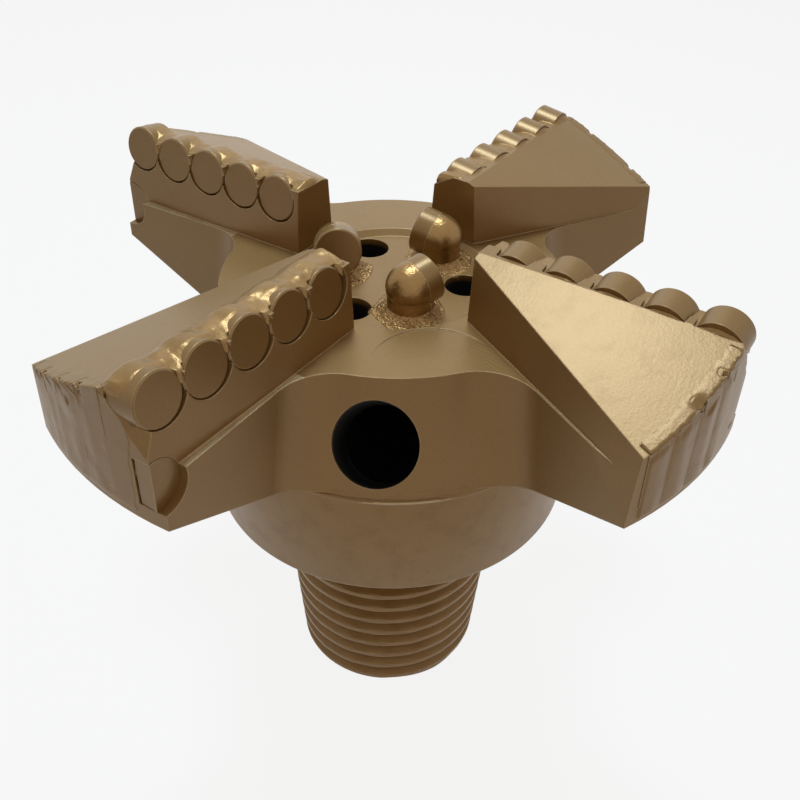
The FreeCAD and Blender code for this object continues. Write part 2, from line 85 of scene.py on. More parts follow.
class PinSettings(bpy.types.PropertyGroup):
    """Sizes of the tapered pin and its collar."""

    length: bpy.props.FloatProperty(
        name="Pin length", description="From the nose to the shoulder", unit="LENGTH", default=0.0762)
    base_radius: bpy.props.FloatProperty(
        name="Base radius", description="Crest radius at the shoulder", unit="LENGTH", default=0.036525)
    nose_radius: bpy.props.FloatProperty(
        name="Nose radius", description="Crest radius at the nose", unit="LENGTH", default=0.030175)
    nose_chamfer: bpy.props.FloatProperty(
        name="Nose chamfer", description="Height of the chamfer at the nose", unit="LENGTH", default=0.003)
    relief_length: bpy.props.FloatProperty(
        name="Relief length", description="Plain length under the shoulder", unit="LENGTH", default=0.0142)
    relief_radius: bpy.props.FloatProperty(
        name="Relief radius", description="Radius of the plain length", unit="LENGTH", default=0.0324)
    relief_bevel: bpy.props.FloatProperty(
        name="Relief bevel", description="Height of the slope into the plain length", unit="LENGTH",
        default=0.002)
    bore_radius: bpy.props.FloatProperty(
        name="Bore radius", description="Radius of the fluid bore", unit="LENGTH", default=0.016)
    bore_length: bpy.props.FloatProperty(
        name="Bore length", description="Length of the straight bore", unit="LENGTH", default=0.0752)
    plenum_radius: bpy.props.FloatProperty(
        name="Plenum radius", description="Radius of the chamber in the collar", unit="LENGTH", default=0.027)
    plenum_bottom: bpy.props.FloatProperty(
        name="Plenum floor", description="Height where the chamber starts", unit="LENGTH", default=0.0882)
    collar_radius: bpy.props.FloatProperty(
        name="Collar radius", description="Radius of the collar", unit="LENGTH", default=0.0551)
    seam_height: bpy.props.FloatProperty(
        name="Seam height", description="Height of the weld seam under the head", unit="LENGTH",
        default=0.1103)
    thread_pitch: bpy.props.FloatProperty(
        name="Thread pitch", description="From crest to crest", unit="LENGTH", default=0.00635)
    thread_depth: bpy.props.FloatProperty(
        name="Thread depth", description="From crest to root", unit="LENGTH", default=0.0031)
    thread_crest: bpy.props.FloatProperty(
        name="Thread crest", description="Width of the flat crest", unit="LENGTH", default=0.0016)
    thread_flank: bpy.props.FloatProperty(
        name="Thread flank", description="Lean of each flank", subtype="ANGLE", default=math.radians(30))
    thread_start: bpy.props.FloatProperty(
        name="Thread start", description="Height of the lowest groove on the side of its start",
        unit="LENGTH", default=0.007225)
    thread_turn: bpy.props.FloatProperty(
        name="Thread turn", description="Side on which the thread starts", subtype="ANGLE",
        default=math.radians(-55.4))
    port_radius: bpy.props.FloatProperty(
        name="Port radius", description="Radius of the side ports", unit="LENGTH", default=0.0113)
    port_rise: bpy.props.FloatProperty(
        name="Port rise", description="Rise of the side ports outward", subtype="ANGLE",
        default=math.radians(40))
    port_turn: bpy.props.FloatProperty(
        name="Port turn", description="Turn of the first port from the first wing", subtype="ANGLE",
        default=math.radians(30))
    port_place: bpy.props.FloatProperty(
        name="Port place", description="Radius where a port's axis leaves the hub", unit="LENGTH",
        default=0.05225)
    port_height: bpy.props.FloatProperty(
        name="Port height", description="Height over the seam where a port's axis leaves the hub",
        unit="LENGTH", default=0.0164)


class WingSettings(bpy.types.PropertyGroup):
    """Sizes of the wings' tops, which carry the braze."""

    crown: bpy.props.FloatProperty(
        name="Crown height", description="Height of the crown", unit="LENGTH", default=0.1467)
    root: bpy.props.FloatProperty(
        name="Wing root", description="Radius of the wings' inner end", unit="LENGTH", default=0.0295)
    tip: bpy.props.FloatProperty(
        name="Wing tip", description="Radius of the wings' tip section", unit="LENGTH", default=0.102)
    gauge: bpy.props.FloatProperty(
        name="Gauge radius", description="Radius of the gauge faces", unit="LENGTH", default=0.100)
    underside: bpy.props.FloatProperty(
        name="Gauge underside", description="Height of the gauge faces' lower end", unit="LENGTH",
        default=0.13155)
    cutter_radius: bpy.props.FloatProperty(
        name="Cutter radius", description="Radius of the round cutters", unit="LENGTH", default=0.00672)
    cutter_pitch: bpy.props.FloatProperty(
        name="Cutter pitch", description="From cutter to cutter along a wing", unit="LENGTH", default=0.0137)
    cutter_lead: bpy.props.FloatProperty(
        name="Cutter lead", description="Place of the cutter faces ahead of the wing's line", unit="LENGTH",
        default=0.0059)
    cutter_height: bpy.props.FloatProperty(
        name="Cutter height", description="Height of the cutter centres over the crown", unit="LENGTH",
        default=0.0153)
    cutter_rake: bpy.props.FloatProperty(
        name="Cutter rake", description="Backward lean of the cutter faces", subtype="ANGLE",
        default=math.radians(8))
    relief: bpy.props.FloatProperty(
        name="Top relief", description="Fall of the wing's top behind its strip, as a slope", default=0.385)
    braze: bpy.props.FloatVectorProperty(
        name="Braze", description="How fully the braze covers the cutters of each wing", size=4,
        min=0, max=1, default=(0.12, 0.40, 0.80, 1.0))
    bar_first: bpy.props.FloatProperty(
        name="First bar", description="Turn of the first gauge bar behind the wing's line", subtype="ANGLE",
        default=math.radians(4.5))
    bar_step: bpy.props.FloatProperty(
        name="Bar step", description="Turn from bar to bar", subtype="ANGLE", default=math.radians(5.2))


class HeadSettings(bpy.types.PropertyGroup):
    """Grinding and milling marks on the head."""

    ground_place: bpy.props.FloatProperty(
        name="Ground end", description="Radius where the ground end meets the arm's foot", unit="LENGTH",
        default=0.0916)
    ground_turn: bpy.props.FloatProperty(
        name="Ground turn", description="Turn of the ground end off the arm's side", subtype="ANGLE",
        default=math.radians(-22.28))
    ground_tilt: bpy.props.FloatProperty(
        name="Ground tilt", description="Lean of the ground end", subtype="ANGLE", default=math.radians(4.3))
    mill_radius: bpy.props.FloatProperty(
        name="Mill radius", description="Radius of the milled spot beside the first wing", unit="LENGTH",
        default=0.0163)
    mill_depth: bpy.props.FloatProperty(
        name="Mill depth", description="Depth of the milled spot", unit="LENGTH", default=0.00035)


class StudioSettings(bpy.types.PropertyGroup):
    """Camera, lamps and floor."""

    camera: bpy.props.FloatVectorProperty(
        name="Camera", description="Place of the camera", subtype="TRANSLATION", unit="LENGTH", size=3,
        default=(0.1349, -0.1953, 0.2845))
    azimuth: bpy.props.FloatProperty(
        name="Azimuth", description="Heading of the view, from +Y towards +X", subtype="ANGLE",
        default=math.radians(-31.44))
    pitch: bpy.props.FloatProperty(
        name="Pitch", description="How far the view looks down", subtype="ANGLE", default=math.radians(35.09))
    roll: bpy.props.FloatProperty(
        name="Roll", description="Turn of the picture", subtype="ANGLE", default=math.radians(2.99))
    lens: bpy.props.FloatProperty(
        name="Lens", description="Focal length for a 36 mm wide picture", unit="CAMERA", default=42.96)
    shift_x: bpy.props.FloatProperty(
        name="Shift X", description="Sideways shift of the lens", default=-0.0464)
    shift_y: bpy.props.FloatProperty(
        name="Shift Y", description="Upward shift of the lens", default=-0.0518)
    key_power: bpy.props.FloatProperty(
        name="Key power", description="Power of the soft lamp overhead", unit="POWER", default=6.5)
    key_size: bpy.props.FloatProperty(
        name="Key size", description="Side of the soft lamp overhead", unit="LENGTH", default=0.28)
    back_power: bpy.props.FloatProperty(
        name="Back power", description="Power of the soft lamp behind", unit="POWER", default=0.5)
    fill_power: bpy.props.FloatProperty(
        name="Fill power", description="Power of the warm lamp in front", unit="POWER", default=0.25)
    room: bpy.props.FloatVectorProperty(
        name="Room light", description="Colour and level of the even light from all sides", subtype="COLOR",
        size=3, min=0, max=1, default=(0.14, 0.107, 0.075))
    floor_radius: bpy.props.FloatProperty(
        name="Floor radius", description="Radius of the floor", unit="LENGTH", default=6.0)


# Shader helpers


def put_in(tree, socket, value):
    """Links or sets one input."""
    if isinstance(value, bpy.types.NodeSocket):
        tree.links.new(value, socket)
    else:
        socket.default_value = value


def add_node(tree, kind, inputs=None, **settings):
    """A node of a kind, with its settings and the values or links of its inputs."""
    node = tree.nodes.new(kind)
    for name, value in settings.items():
        setattr(node, name, value)
    for name, value in (inputs or {}).items():
        put_in(tree, node.inputs[name], value)
    return node


def maths(tree, operation, first, second=0.0):
    """One sum of two values."""
    return add_node(tree, "ShaderNodeMath", {0: first, 1: second}, operation=operation).outputs[0]


def product(tree, *masks):
    """Masks multiplied, from the first to the last."""
    result = masks[0]
    for mask in masks[1:]:
        result = maths(tree, "MULTIPLY", result, mask)
    return result


def spread(tree, value, low, high, to_low=0.0, to_high=1.0):
    """A value mapped from one range to another, clamped and eased."""
    node = add_node(tree, "ShaderNodeMapRange", {"Value": value, "From Min": low, "From Max": high,
                                                 "To Min": to_low, "To Max": to_high},
                    interpolation_type="SMOOTHSTEP")
    return node.outputs["Result"]


def mixed(tree, factor, first, second, blend_type="MIX"):
    """Two colours mixed by a factor."""
    node = add_node(tree, "ShaderNodeMix", {0: factor, 6: first, 7: second}, data_type="RGBA")
    node.blend_type = blend_type
    return node.outputs[2]


def axis_parts(tree):
    """The object's X, Y and Z at the surface, and the distance from its axis."""
    place = add_node(tree, "ShaderNodeTexCoord").outputs["Object"]
    parts = add_node(tree, "ShaderNodeSeparateXYZ", {"Vector": place})
    x, y, z = (parts.outputs[axis] for axis in "XYZ")
    return x, y, z, distance(tree, x, y)


def distance(tree, x, y):
    """Length of a level line, from its two parts."""
    squares = maths(tree, "ADD", maths(tree, "MULTIPLY", x, x), maths(tree, "MULTIPLY", y, y))
    return maths(tree, "SQRT", squares)


def new_group(name, inputs, outputs):
    """A shader group with typed inputs and outputs, and its two end nodes."""
    group = bpy.data.node_groups.new(name, "ShaderNodeTree")
    for label, kind, default in inputs:
        socket = group.interface.new_socket(name=label, in_out="INPUT", socket_type=kind)
        socket.default_value = default
    for label, kind in outputs:
        group.interface.new_socket(name=label, in_out="OUTPUT", socket_type=kind)
    return group, group.nodes.new("NodeGroupInput"), group.nodes.new("NodeGroupOutput")


def rgba(colour, gain=1.0):
    """A colour made brighter or darker, with full alpha."""
    return (*[min(1.0, part * gain) for part in colour], 1.0)


def weighed_sum(tree, first, first_weight, second, second_weight):
    """Two values added, each with its weight."""
    return maths(tree, "ADD", maths(tree, "MULTIPLY", first, first_weight),
                 maths(tree, "MULTIPLY", second, second_weight))


def paint_mottle_group():
    """Uneven spray paint: a slow drift, a fine grain and their mix."""
    group, given, put = new_group(
        "Paint mottle",
        [("Shade", "NodeSocketColor", (0.2, 0.1, 0.05, 1)), ("Pale", "NodeSocketColor", (0.3, 0.2, 0.1, 1)),
         ("Dirt", "NodeSocketFloat", 0.3)],
        [("Color", "NodeSocketColor"), ("Roughness", "NodeSocketFloat"), ("Height", "NodeSocketFloat")])
    place = add_node(group, "ShaderNodeTexCoord").outputs["Object"]
    drift = add_node(group, "ShaderNodeTexNoise", {"Vector": place, "Scale": 28.0, "Detail": 3.0})
    patch = add_node(group, "ShaderNodeTexNoise", {"Vector": place, "Scale": 150.0, "Detail": 4.0,
                                                   "Roughness": 0.6})
    grain = add_node(group, "ShaderNodeTexNoise", {"Vector": place, "Scale": 1500.0, "Detail": 2.0})
    slow = spread(group, drift.outputs["Fac"], 0.35, 0.68)
    blotch = spread(group, patch.outputs["Fac"], 0.45, 0.75)
    fine = spread(group, grain.outputs["Fac"], 0.3, 0.7)
    thin = weighed_sum(group, slow, 0.3, fine, 0.3)
    colour = mixed(group, thin, given.outputs["Shade"], given.outputs["Pale"])
    soiled = mixed(group, 1.0, colour, (0.66, 0.58, 0.48, 1), "MULTIPLY")
    dirt = maths(group, "MULTIPLY", blotch, given.outputs["Dirt"])
    group.links.new(mixed(group, dirt, colour, soiled), put.inputs["Color"])
    group.links.new(weighed_sum(group, slow, 0.5, blotch, 0.5), put.inputs["Roughness"])
    group.links.new(weighed_sum(group, fine, 0.35, blotch, 0.65), put.inputs["Height"])
    return group


# Cosine between the rolled and the plain normal, from off the edge to full on it
EDGE_LEAN = (0.99, 0.86)


def soft_edge_group():
    """Rounded edges: a normal that rolls over each edge and a mask of where it does, which the paint fills with
    edge wear and a painted highlight.
    """
    group, given, put = new_group(
        "Soft edge", [("Radius", "NodeSocketFloat", 0.0005)],
        [("Normal", "NodeSocketVector"), ("Edge", "NodeSocketFloat")])
    rolled = add_node(group, "ShaderNodeBevel", {"Radius": given.outputs["Radius"]}, samples=6)
    plain = add_node(group, "ShaderNodeNewGeometry").outputs["Normal"]
    facing = add_node(group, "ShaderNodeVectorMath", {0: rolled.outputs["Normal"], 1: plain},
                      operation="DOT_PRODUCT").outputs["Value"]
    group.links.new(rolled.outputs["Normal"], put.inputs["Normal"])
    group.links.new(spread(group, facing, *EDGE_LEAN), put.inputs["Edge"])
    return group


def turning_marks_group():
    """Fine rings left by turning round the bit's axis."""
    group, given, put = new_group(
        "Turning marks", [("Rings", "NodeSocketFloat", 900.0)], [("Height", "NodeSocketFloat")])
    x, y, z, radius = axis_parts(group)
    along = maths(group, "MULTIPLY", maths(group, "ADD", radius, z), given.outputs["Rings"])
    drift = 9.0
    lay = add_node(group, "ShaderNodeCombineXYZ", {"X": along, "Y": maths(group, "MULTIPLY", x, drift),
                                                   "Z": maths(group, "MULTIPLY", y, drift)})
    lines = add_node(group, "ShaderNodeTexNoise", {"Vector": lay.outputs[0], "Scale": 1.0, "Detail": 2.0})
    group.links.new(lines.outputs["Fac"], put.inputs["Height"])
    return group


# Where the painted shade begins inside the bit, in metres: a near-black colour for the shade in the chamber,
# ports and nozzle holes. Pairs run from the last paint to the first painted shade.
HUB_CONE_RADIUS, HUB_CONE_SLOPE, COLLAR_WALL = 0.0692, 0.137, 0.0547
PAINTED_SHADE_UNDER_WALL = (0.0008, 0.0022)
PAINTED_SHADE_UNDER_CROWN, PAINTED_SHADE_OVER_SHOULDER = (0.1443, 0.1425), (0.0768, 0.0780)
PAINTED_SHADE_BORE_RADIUS, PAINTED_SHADE_BORE_TOP = (0.0170, 0.0163), (0.090, 0.085)
PAINTED_SHADE_CONE_RADIUS, PAINTED_SHADE_CONE_FOOT, PAINTED_SHADE_CONE_TOP = (0.0290, 0.0280), (0.0700, 0.0710), (0.0900, 0.0880)


def painted_hollow_shade_group():
    """One inside the chamber, the ports and the nozzle holes, where shade is painted in, and nought outside."""
    group, _, put = new_group("Hollow painted shade", [], [("Inside", "NodeSocketFloat")])
    _, _, z, radius = axis_parts(group)
    hub = maths(group, "SUBTRACT", HUB_CONE_RADIUS, maths(group, "MULTIPLY", z, HUB_CONE_SLOPE))
    under_wall = maths(group, "SUBTRACT", maths(group, "MINIMUM", hub, COLLAR_WALL), radius)
    low = product(group, spread(group, z, *PAINTED_SHADE_UNDER_CROWN), spread(group, z, *PAINTED_SHADE_OVER_SHOULDER))
    body = product(group, spread(group, under_wall, *PAINTED_SHADE_UNDER_WALL), low)
    bore = product(group, spread(group, radius, *PAINTED_SHADE_BORE_RADIUS), spread(group, z, *PAINTED_SHADE_BORE_TOP))
    cone = product(group, spread(group, radius, *PAINTED_SHADE_CONE_RADIUS), spread(group, z, *PAINTED_SHADE_CONE_FOOT),
                   spread(group, z, *PAINTED_SHADE_CONE_TOP))
    inside = maths(group, "MAXIMUM", body, maths(group, "MAXIMUM", bore, cone))
    group.links.new(inside, put.inputs["Inside"])
    return group


GROUPS = {"Paint mottle": paint_mottle_group, "Soft edge": soft_edge_group,
          "Turning marks": turning_marks_group, "Hollow painted shade": painted_hollow_shade_group}


def place_group(tree, name, inputs=None):
    """A shared group in a material, with its own values."""
    group = bpy.data.node_groups.get(name) or GROUPS[name]()
    return add_node(tree, "ShaderNodeGroup", inputs, node_tree=group)


# The milled spot beside the first wing: its middle, the middle of the mill's sweep, and the pitch of the arcs.
# They end at the rim, are fainter inside, down to a quarter, and lie on the crown alone.
MILL_CENTRE = (0.0335, -0.0303)
MILL_SWEEP = (MILL_CENTRE[0] + 0.006, MILL_CENTRE[1] - 0.011)
MILL_PITCH, MILL_RIM = 0.0012, 0.0005
MILL_FAINT, MILL_LEVEL = (0.0085, 0.0150, 0.25), (0.1445, 0.1455)


def milled_arcs(tree):
    """Overlapping arcs left by the mill in the spot beside the first wing."""
    x, y, z, _ = axis_parts(tree)
    out, sweep = (distance(tree, maths(tree, "SUBTRACT", x, centre_x), maths(tree, "SUBTRACT", y, centre_y))
                  for centre_x, centre_y in (MILL_CENTRE, MILL_SWEEP))
    arcs = maths(tree, "SINE", maths(tree, "MULTIPLY", sweep, math.tau / MILL_PITCH))
    rim = bpy.context.scene.bit_head.mill_radius
    near_rim = product(tree, spread(tree, out, rim, rim - MILL_RIM), spread(tree, out, *MILL_FAINT))
    return product(tree, arcs, product(tree, near_rim, spread(tree, z, *MILL_LEVEL)))


# How far the paint's roughness strays over a surface, and how much the turning marks add to its relief
PAINT_IOR, PAINT_SPECULAR = 1.5, 0.32
ROUGHNESS_DRIFT, TURNING_SHARE = (-0.01, 0.02), 0.4
# Painted shade: the near-black colour painted inside the hollows, where they lie in shade
HOLLOW_PAINTED_SHADE = (0.003, 0.0025, 0.002, 1)


def paint_material(name, gain=1.0, pale_gain=1.0, matt=0.0, dirt=0.12, bump=0.00003, edge=0.0005, wear_and_highlight_share=0.6,
                   rings=0.0, arcs=0.0, bright=False, flake=0.0):
    """Bronze spray paint for one kind of piece, with edge wear and a painted highlight on its edges. Pieces
    with rings are turned, and have painted shade in their hollows: near black, matt and without flake.
    """
    paint = bpy.context.scene.bit_paint
    material = bpy.data.materials.new(name)
    material.use_nodes = True
    tree = material.node_tree
    shader = tree.nodes["Principled BSDF"]
    # Painted highlight: bright pieces take the edge colour all over
    shade, pale = (paint.edge_wear_and_highlight, paint.edge_wear_and_highlight) if bright else (paint.shade, paint.pale)
    mottle = place_group(tree, "Paint mottle", {
        "Shade": rgba(shade, gain), "Pale": rgba(pale, gain * pale_gain), "Dirt": dirt})
    soft = place_group(tree, "Soft edge", {"Radius": edge})
    # Edge wear and painted highlight: the edge colour mixed in over the rounded edges
    wear_and_highlight = maths(tree, "MULTIPLY", soft.outputs["Edge"], wear_and_highlight_share)
    colour = mixed(tree, wear_and_highlight, mottle.outputs["Color"], rgba(paint.edge_wear_and_highlight))
    dry = spread(tree, mottle.outputs["Roughness"], 0.0, 1.0,
                 *(paint.roughness + matt + drift for drift in ROUGHNESS_DRIFT))
    metal = paint.metal + flake
    if rings:
        # Painted shade: near black, matt and without flake inside the hollows
        inside = place_group(tree, "Hollow painted shade").outputs["Inside"]
        colour = mixed(tree, inside, colour, HOLLOW_PAINTED_SHADE)
        dry = maths(tree, "MAXIMUM", dry, inside)
        metal = spread(tree, inside, 0.0, 1.0, metal, 0.0)
    put_in(tree, shader.inputs["Base Color"], colour)
    put_in(tree, shader.inputs["Roughness"], dry)
    put_in(tree, shader.inputs["Metallic"], metal)
    height = mottle.outputs["Height"]
    if rings:
        marks = place_group(tree, "Turning marks", {"Rings": rings})
        height = maths(tree, "ADD", height, maths(tree, "MULTIPLY", marks.outputs["Height"], TURNING_SHARE))
    if arcs:
        height = maths(tree, "ADD", height, maths(tree, "MULTIPLY", milled_arcs(tree), arcs))
    relief = add_node(tree, "ShaderNodeBump", {"Height": height, "Distance": bump, "Strength": 1.0,
                                               "Normal": soft.outputs["Normal"]})
    put_in(tree, shader.inputs["Normal"], relief.outputs["Normal"])
    shader.inputs["Specular Tint"].default_value = rgba(paint.flake)
    shader.inputs["IOR"].default_value = PAINT_IOR
    shader.inputs["Specular IOR Level"].default_value = PAINT_SPECULAR
    return material


MATERIALS = {
    "bit_head_paint": dict(dirt=0.06, rings=900.0, arcs=0.3),
    # Painted highlight on the ledges and the seam's lip
    "ledge_highlight_paint": dict(bright=True, gain=0.9, pale_gain=1.2, matt=-0.08, dirt=0.5, bump=0.00012, wear_and_highlight_share=1.0),
    "cutter_face_paint": dict(gain=0.95, matt=-0.04, dirt=0.15, bump=0.00002, edge=0.0004, wear_and_highlight_share=0.9),
    "gauge_bar_paint": dict(gain=0.9, dirt=0.3, bump=0.00006),
    "gauge_braze_paint": dict(gain=0.92, dirt=0.2, bump=0.00005, edge=0.0003, wear_and_highlight_share=0.3),
    "post_paint": dict(gain=1.05, dirt=0.3, bump=0.00010, matt=-0.08, wear_and_highlight_share=0.9, flake=0.42),
    "braze_paint": dict(pale_gain=1.1, matt=-0.03, dirt=0.12, bump=0.00005, edge=0.0003, flake=0.18),
    "weld_paint": dict(pale_gain=1.3, matt=-0.12, dirt=0.9, bump=0.00040, edge=0.0003, wear_and_highlight_share=1.0, flake=0.40),
    "pin_paint": dict(dirt=0.4, rings=1400.0),
}


def material_of(name):
    """The paint of a name, mixed when it is first asked for."""
    return bpy.data.materials.get(name) or paint_material(name, **MATERIALS[name])


# Mesh helpers


def mesh_piece(name, points, faces, material, smooth_angle=40.0):
    """A shaded object of points in millimetres, riding on the bit."""
    mesh = bpy.data.meshes.new(name)
    mesh.from_pydata([(x * MM, y * MM, z * MM) for x, y, z in points], [], faces)
    mesh.validate()
    work = bmesh.new()
    work.from_mesh(mesh)
    bmesh.ops.recalc_face_normals(work, faces=work.faces)
    work.to_mesh(mesh)
    work.free()
    return dress_piece(name, mesh, material, smooth_angle)


def dress_piece(name, mesh, material, smooth_angle):
    """An object of a mesh, with its paint and its place on the bit."""
    mesh.shade_smooth()
    mesh.set_sharp_from_angle(angle=math.radians(smooth_angle))
    mesh.materials.append(material_of(material))
    piece = bpy.data.objects.new(name, mesh)
    bpy.context.scene.collection.objects.link(piece)
    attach(piece, BODY)
    return piece


def slab(rows, depths):
    """Points and faces of a closed slab: a top grid and its copy sunk by the given depths."""
    across = len(rows[0])
    top = [point for row in rows for point in row]
    count = len(top)
    bottom = [tuple(p - d for p, d in zip(point, depth))
              for row, sunk in zip(rows, depths) for point, depth in zip(row, sunk)]
    faces = []
    for i in range(len(rows) - 1):
        for j in range(across - 1):
            a, b = i * across + j, (i + 1) * across + j
            faces.append((a, b, b + 1, a + 1))
            faces.append((a + count, a + 1 + count, b + 1 + count, b + count))
    rim = list(range(across))
    rim += [i * across + across - 1 for i in range(1, len(rows))]
    rim += [(len(rows) - 1) * across + j for j in range(across - 2, -1, -1)]
    rim += [i * across for i in range(len(rows) - 2, 0, -1)]
    for here, there in zip(rim, rim[1:] + rim[:1]):
        faces.append((here, there, there + count, here + count))
    return top + bottom, faces


def ring_surface(rows):
    """Points and faces of rings of points, joined one to the next and the last to the first."""
    around = len(rows[0])
    points = [point for row in rows for point in row]
    faces = []
    for i in range(len(rows)):
        below, above = i * around, ((i + 1) % len(rows)) * around
        for j in range(around):
            k = (j + 1) % around
            faces.append((below + j, below + k, above + k, above + j))
    return points, faces


def uneven(x, y, z, scale, octaves=3, seed=0.0):
    """Repeatable noise between about -1 and 1."""
    place = Vector((x * scale + seed, y * scale - seed, z * scale + 2 * seed))
    return noise.fractal(place, 1.0, 2.0, octaves)


def ease(value, low, high):
    """Nought at low and one at high, eased between and level beyond."""
    share = min(1.0, max(0.0, (value - low) / (high - low)))
    return share * share * (3 - 2 * share)


def blend(share, first, second):
    """A value between two, by its share of the way."""
    return first + (second - first) * share


def hump(value, middle, width):
    """One at the middle, dying away evenly on both sides."""
    return math.exp(-((value - middle) / width) ** 2)


def soft_max(first, second, reach):
    """The higher of two heights, with the valley between them filled over a reach."""
    near = max(0.0, reach - abs(first - second)) / reach
    return max(first, second) + 0.25 * reach * near * near


def cylinder_tool(name, radius, depth, where, vertices=64):
    """A cylinder that cuts, standing from the given place along its own Z axis."""
    bpy.ops.mesh.primitive_cylinder_add(vertices=vertices, radius=radius, depth=depth)
    tool = bpy.context.object
    tool.name = name
    tool.matrix_world = where @ Matrix.Translation((0, 0, depth / 2))
    return tool


def block_tool(name, where, middle, size):
    """A block that cuts, with its middle at a place in the given frame."""
    bpy.ops.mesh.primitive_cube_add(size=1.0)
    tool = bpy.context.object
    tool.name = name
    tool.matrix_world = where @ (Matrix.Translation(middle) @ Matrix.Diagonal((*size, 1.0)))
    return tool


def cut_away(piece, tools):
    """Cuts shapes out of a piece and removes them."""
    bpy.context.view_layer.update()
    for tool in tools:
        cut = piece.modifiers.new(tool.name, "BOOLEAN")
        cut.operation = "DIFFERENCE"
        cut.solver = "EXACT"
        cut.object = tool
    depsgraph = bpy.context.evaluated_depsgraph_get()
    mesh = bpy.data.meshes.new_from_object(piece.evaluated_get(depsgraph))
    piece.modifiers.clear()
    piece.data = mesh
    for tool in tools:
        bpy.data.objects.remove(tool)


# How near, and how nearly in line, a cut mesh's face has to be to count as part of the solid it was cut from
SAME_GAP, SAME_LEAN, USABLE_LEAN = 3e-6, 0.99, 0.5


def carry_normals(mesh, source):
    """Gives a cut mesh the normals of the solid that it was cut from, and leaves its new faces flat."""
    source.calc_loop_triangles()
    thirds, points = source.loop_triangles, source.vertices
    tree = BVHTree.FromPolygons([point.co for point in points], [third.vertices[:] for third in thirds])
    normals = [None] * len(mesh.loops)
    for face in mesh.polygons:
        _, facing, number, gap = tree.find_nearest(face.center)
        kept = gap < SAME_GAP and facing.dot(face.normal) > SAME_LEAN
        for loop in face.loop_indices:
            normals[loop] = face.normal.copy()
            if kept:
                corners = [points[vertex].co for vertex in thirds[number].vertices]
                leans = [source.corner_normals[corner].vector for corner in thirds[number].loops]
                place = mesh.vertices[mesh.loops[loop].vertex_index].co
                lean = barycentric_transform(place, *corners, *leans)
                if lean.length > USABLE_LEAN and lean.normalized().dot(face.normal) > USABLE_LEAN:
                    normals[loop] = lean.normalized()
    mesh.shade_smooth()
    mesh.normals_split_custom_set(normals)


def wing_matrix(number):
    """The turn from the first wing to a wing."""
    return Matrix.Rotation(math.tau * number / WINGS, 4, "Z")


# Pin


def groove_depth(pin, height, turn):
    """Depth of the thread below its crest, from the height and the turn round the pin, in metres."""
    turns = (height - pin.thread_start) / pin.thread_pitch - (turn - pin.thread_turn) / math.tau
    off_middle = abs(turns - round(turns)) * pin.thread_pitch
    flank = pin.thread_depth * math.tan(pin.thread_flank)
    mouth = (pin.thread_pitch - pin.thread_crest) / 2
    return pin.thread_depth * min(1.0, max(0.0, (mouth - off_middle) / flank))


def pin_radius(pin, height, turn):
    """Radius of the threaded length at a height."""
    taper = (pin.base_radius - pin.nose_radius) / pin.length
    radius = pin.nose_radius + taper * height - groove_depth(pin, height, turn)
    if height < pin.nose_chamfer:
        cone = blend(height / pin.nose_chamfer, pin.nose_radius - pin.nose_chamfer / 2, pin.nose_radius)
        return min(radius, cone)
    return radius


def pin_rings(pin):
    """Rings of points from the bore's mouth, up the threaded outside and down the chamber, in millimetres."""
    around, steps_per_thread = 180, 18
    small, wide, halfway = 0.8 * MM, 1.2 * MM, 0.35 * MM
    relief = pin.length - pin.relief_length
    steps = math.ceil(relief / pin.thread_pitch * steps_per_thread)
    turns = [math.tau * step / around for step in range(around)]
    rings = [[(pin.bore_radius, 0.0)] * around]
    for step in range(steps + 1):
        height = relief * step / steps
        rings.append([(pin_radius(pin, height, turn), height) for turn in turns])
    seam, collar = pin.seam_height, pin.collar_radius
    plain = [(pin.relief_radius, relief + pin.relief_bevel), (pin.relief_radius, pin.length - small),
             (pin.relief_radius + small, pin.length), (collar - wide, pin.length),
             (collar - halfway, pin.length + halfway), (collar, pin.length + wide),
             (collar, seam - small), (collar - small, seam), (pin.plenum_radius, seam),
             (pin.plenum_radius, pin.plenum_bottom), (pin.bore_radius, pin.bore_length)]
    rings += [[place] * around for place in plain]
    return [[(r / MM * math.cos(turn), r / MM * math.sin(turn), height / MM)
             for turn, (r, height) in zip(turns, ring)] for ring in rings]


# Where a side port's cutting cylinder starts, from the bit's axis, and how long it is
PORT_START, PORT_LENGTH = 0.016, 0.12


def port_tool(pin, number):
    """A long cylinder along a side port."""
    turn = pin.port_turn + number * math.tau / WINGS
    axis = Vector((math.cos(turn) * math.cos(pin.port_rise), math.sin(turn) * math.cos(pin.port_rise),
                   math.sin(pin.port_rise)))
    mouth = Vector((pin.port_place * math.cos(turn), pin.port_place * math.sin(turn),
                    pin.seam_height + pin.port_height))
    start = mouth - axis * ((pin.port_place - PORT_START) / math.cos(pin.port_rise))
    where = Matrix.Translation(start) @ axis.to_track_quat("Z", "Y").to_matrix().to_4x4()
    return cylinder_tool(f"port_{number + 1}", pin.port_radius, PORT_LENGTH, where, 72)


class BIT_OT_turn_pin(bpy.types.Operator):
    """Turns the pin with its helical thread and its collar, in place of the one with rings"""

    bl_idname = "bit.turn_pin"
    bl_label = "Threaded Pin"

    def execute(self, context):
        smooth_angle = 32.0
        pin = context.scene.bit_pin
        points, faces = ring_surface(pin_rings(pin))
        piece = mesh_piece("threaded_pin", points, faces, "pin_paint", smooth_angle)
        cut_away(piece, [port_tool(pin, number) for number in range(WINGS)])
        piece.data.set_sharp_from_angle(angle=math.radians(smooth_angle))
        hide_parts("pin_shank")
        return {"FINISHED"}


# Head


# The arms' trailing side before it is ground: radius and place across the arm at its two ends, in millimetres
ARM_TRAILING_SIDE = ((30.0, -9.9), (102.0, -45.3))
GROUND_BLOCK = (0.06, 0.03, 0.06)


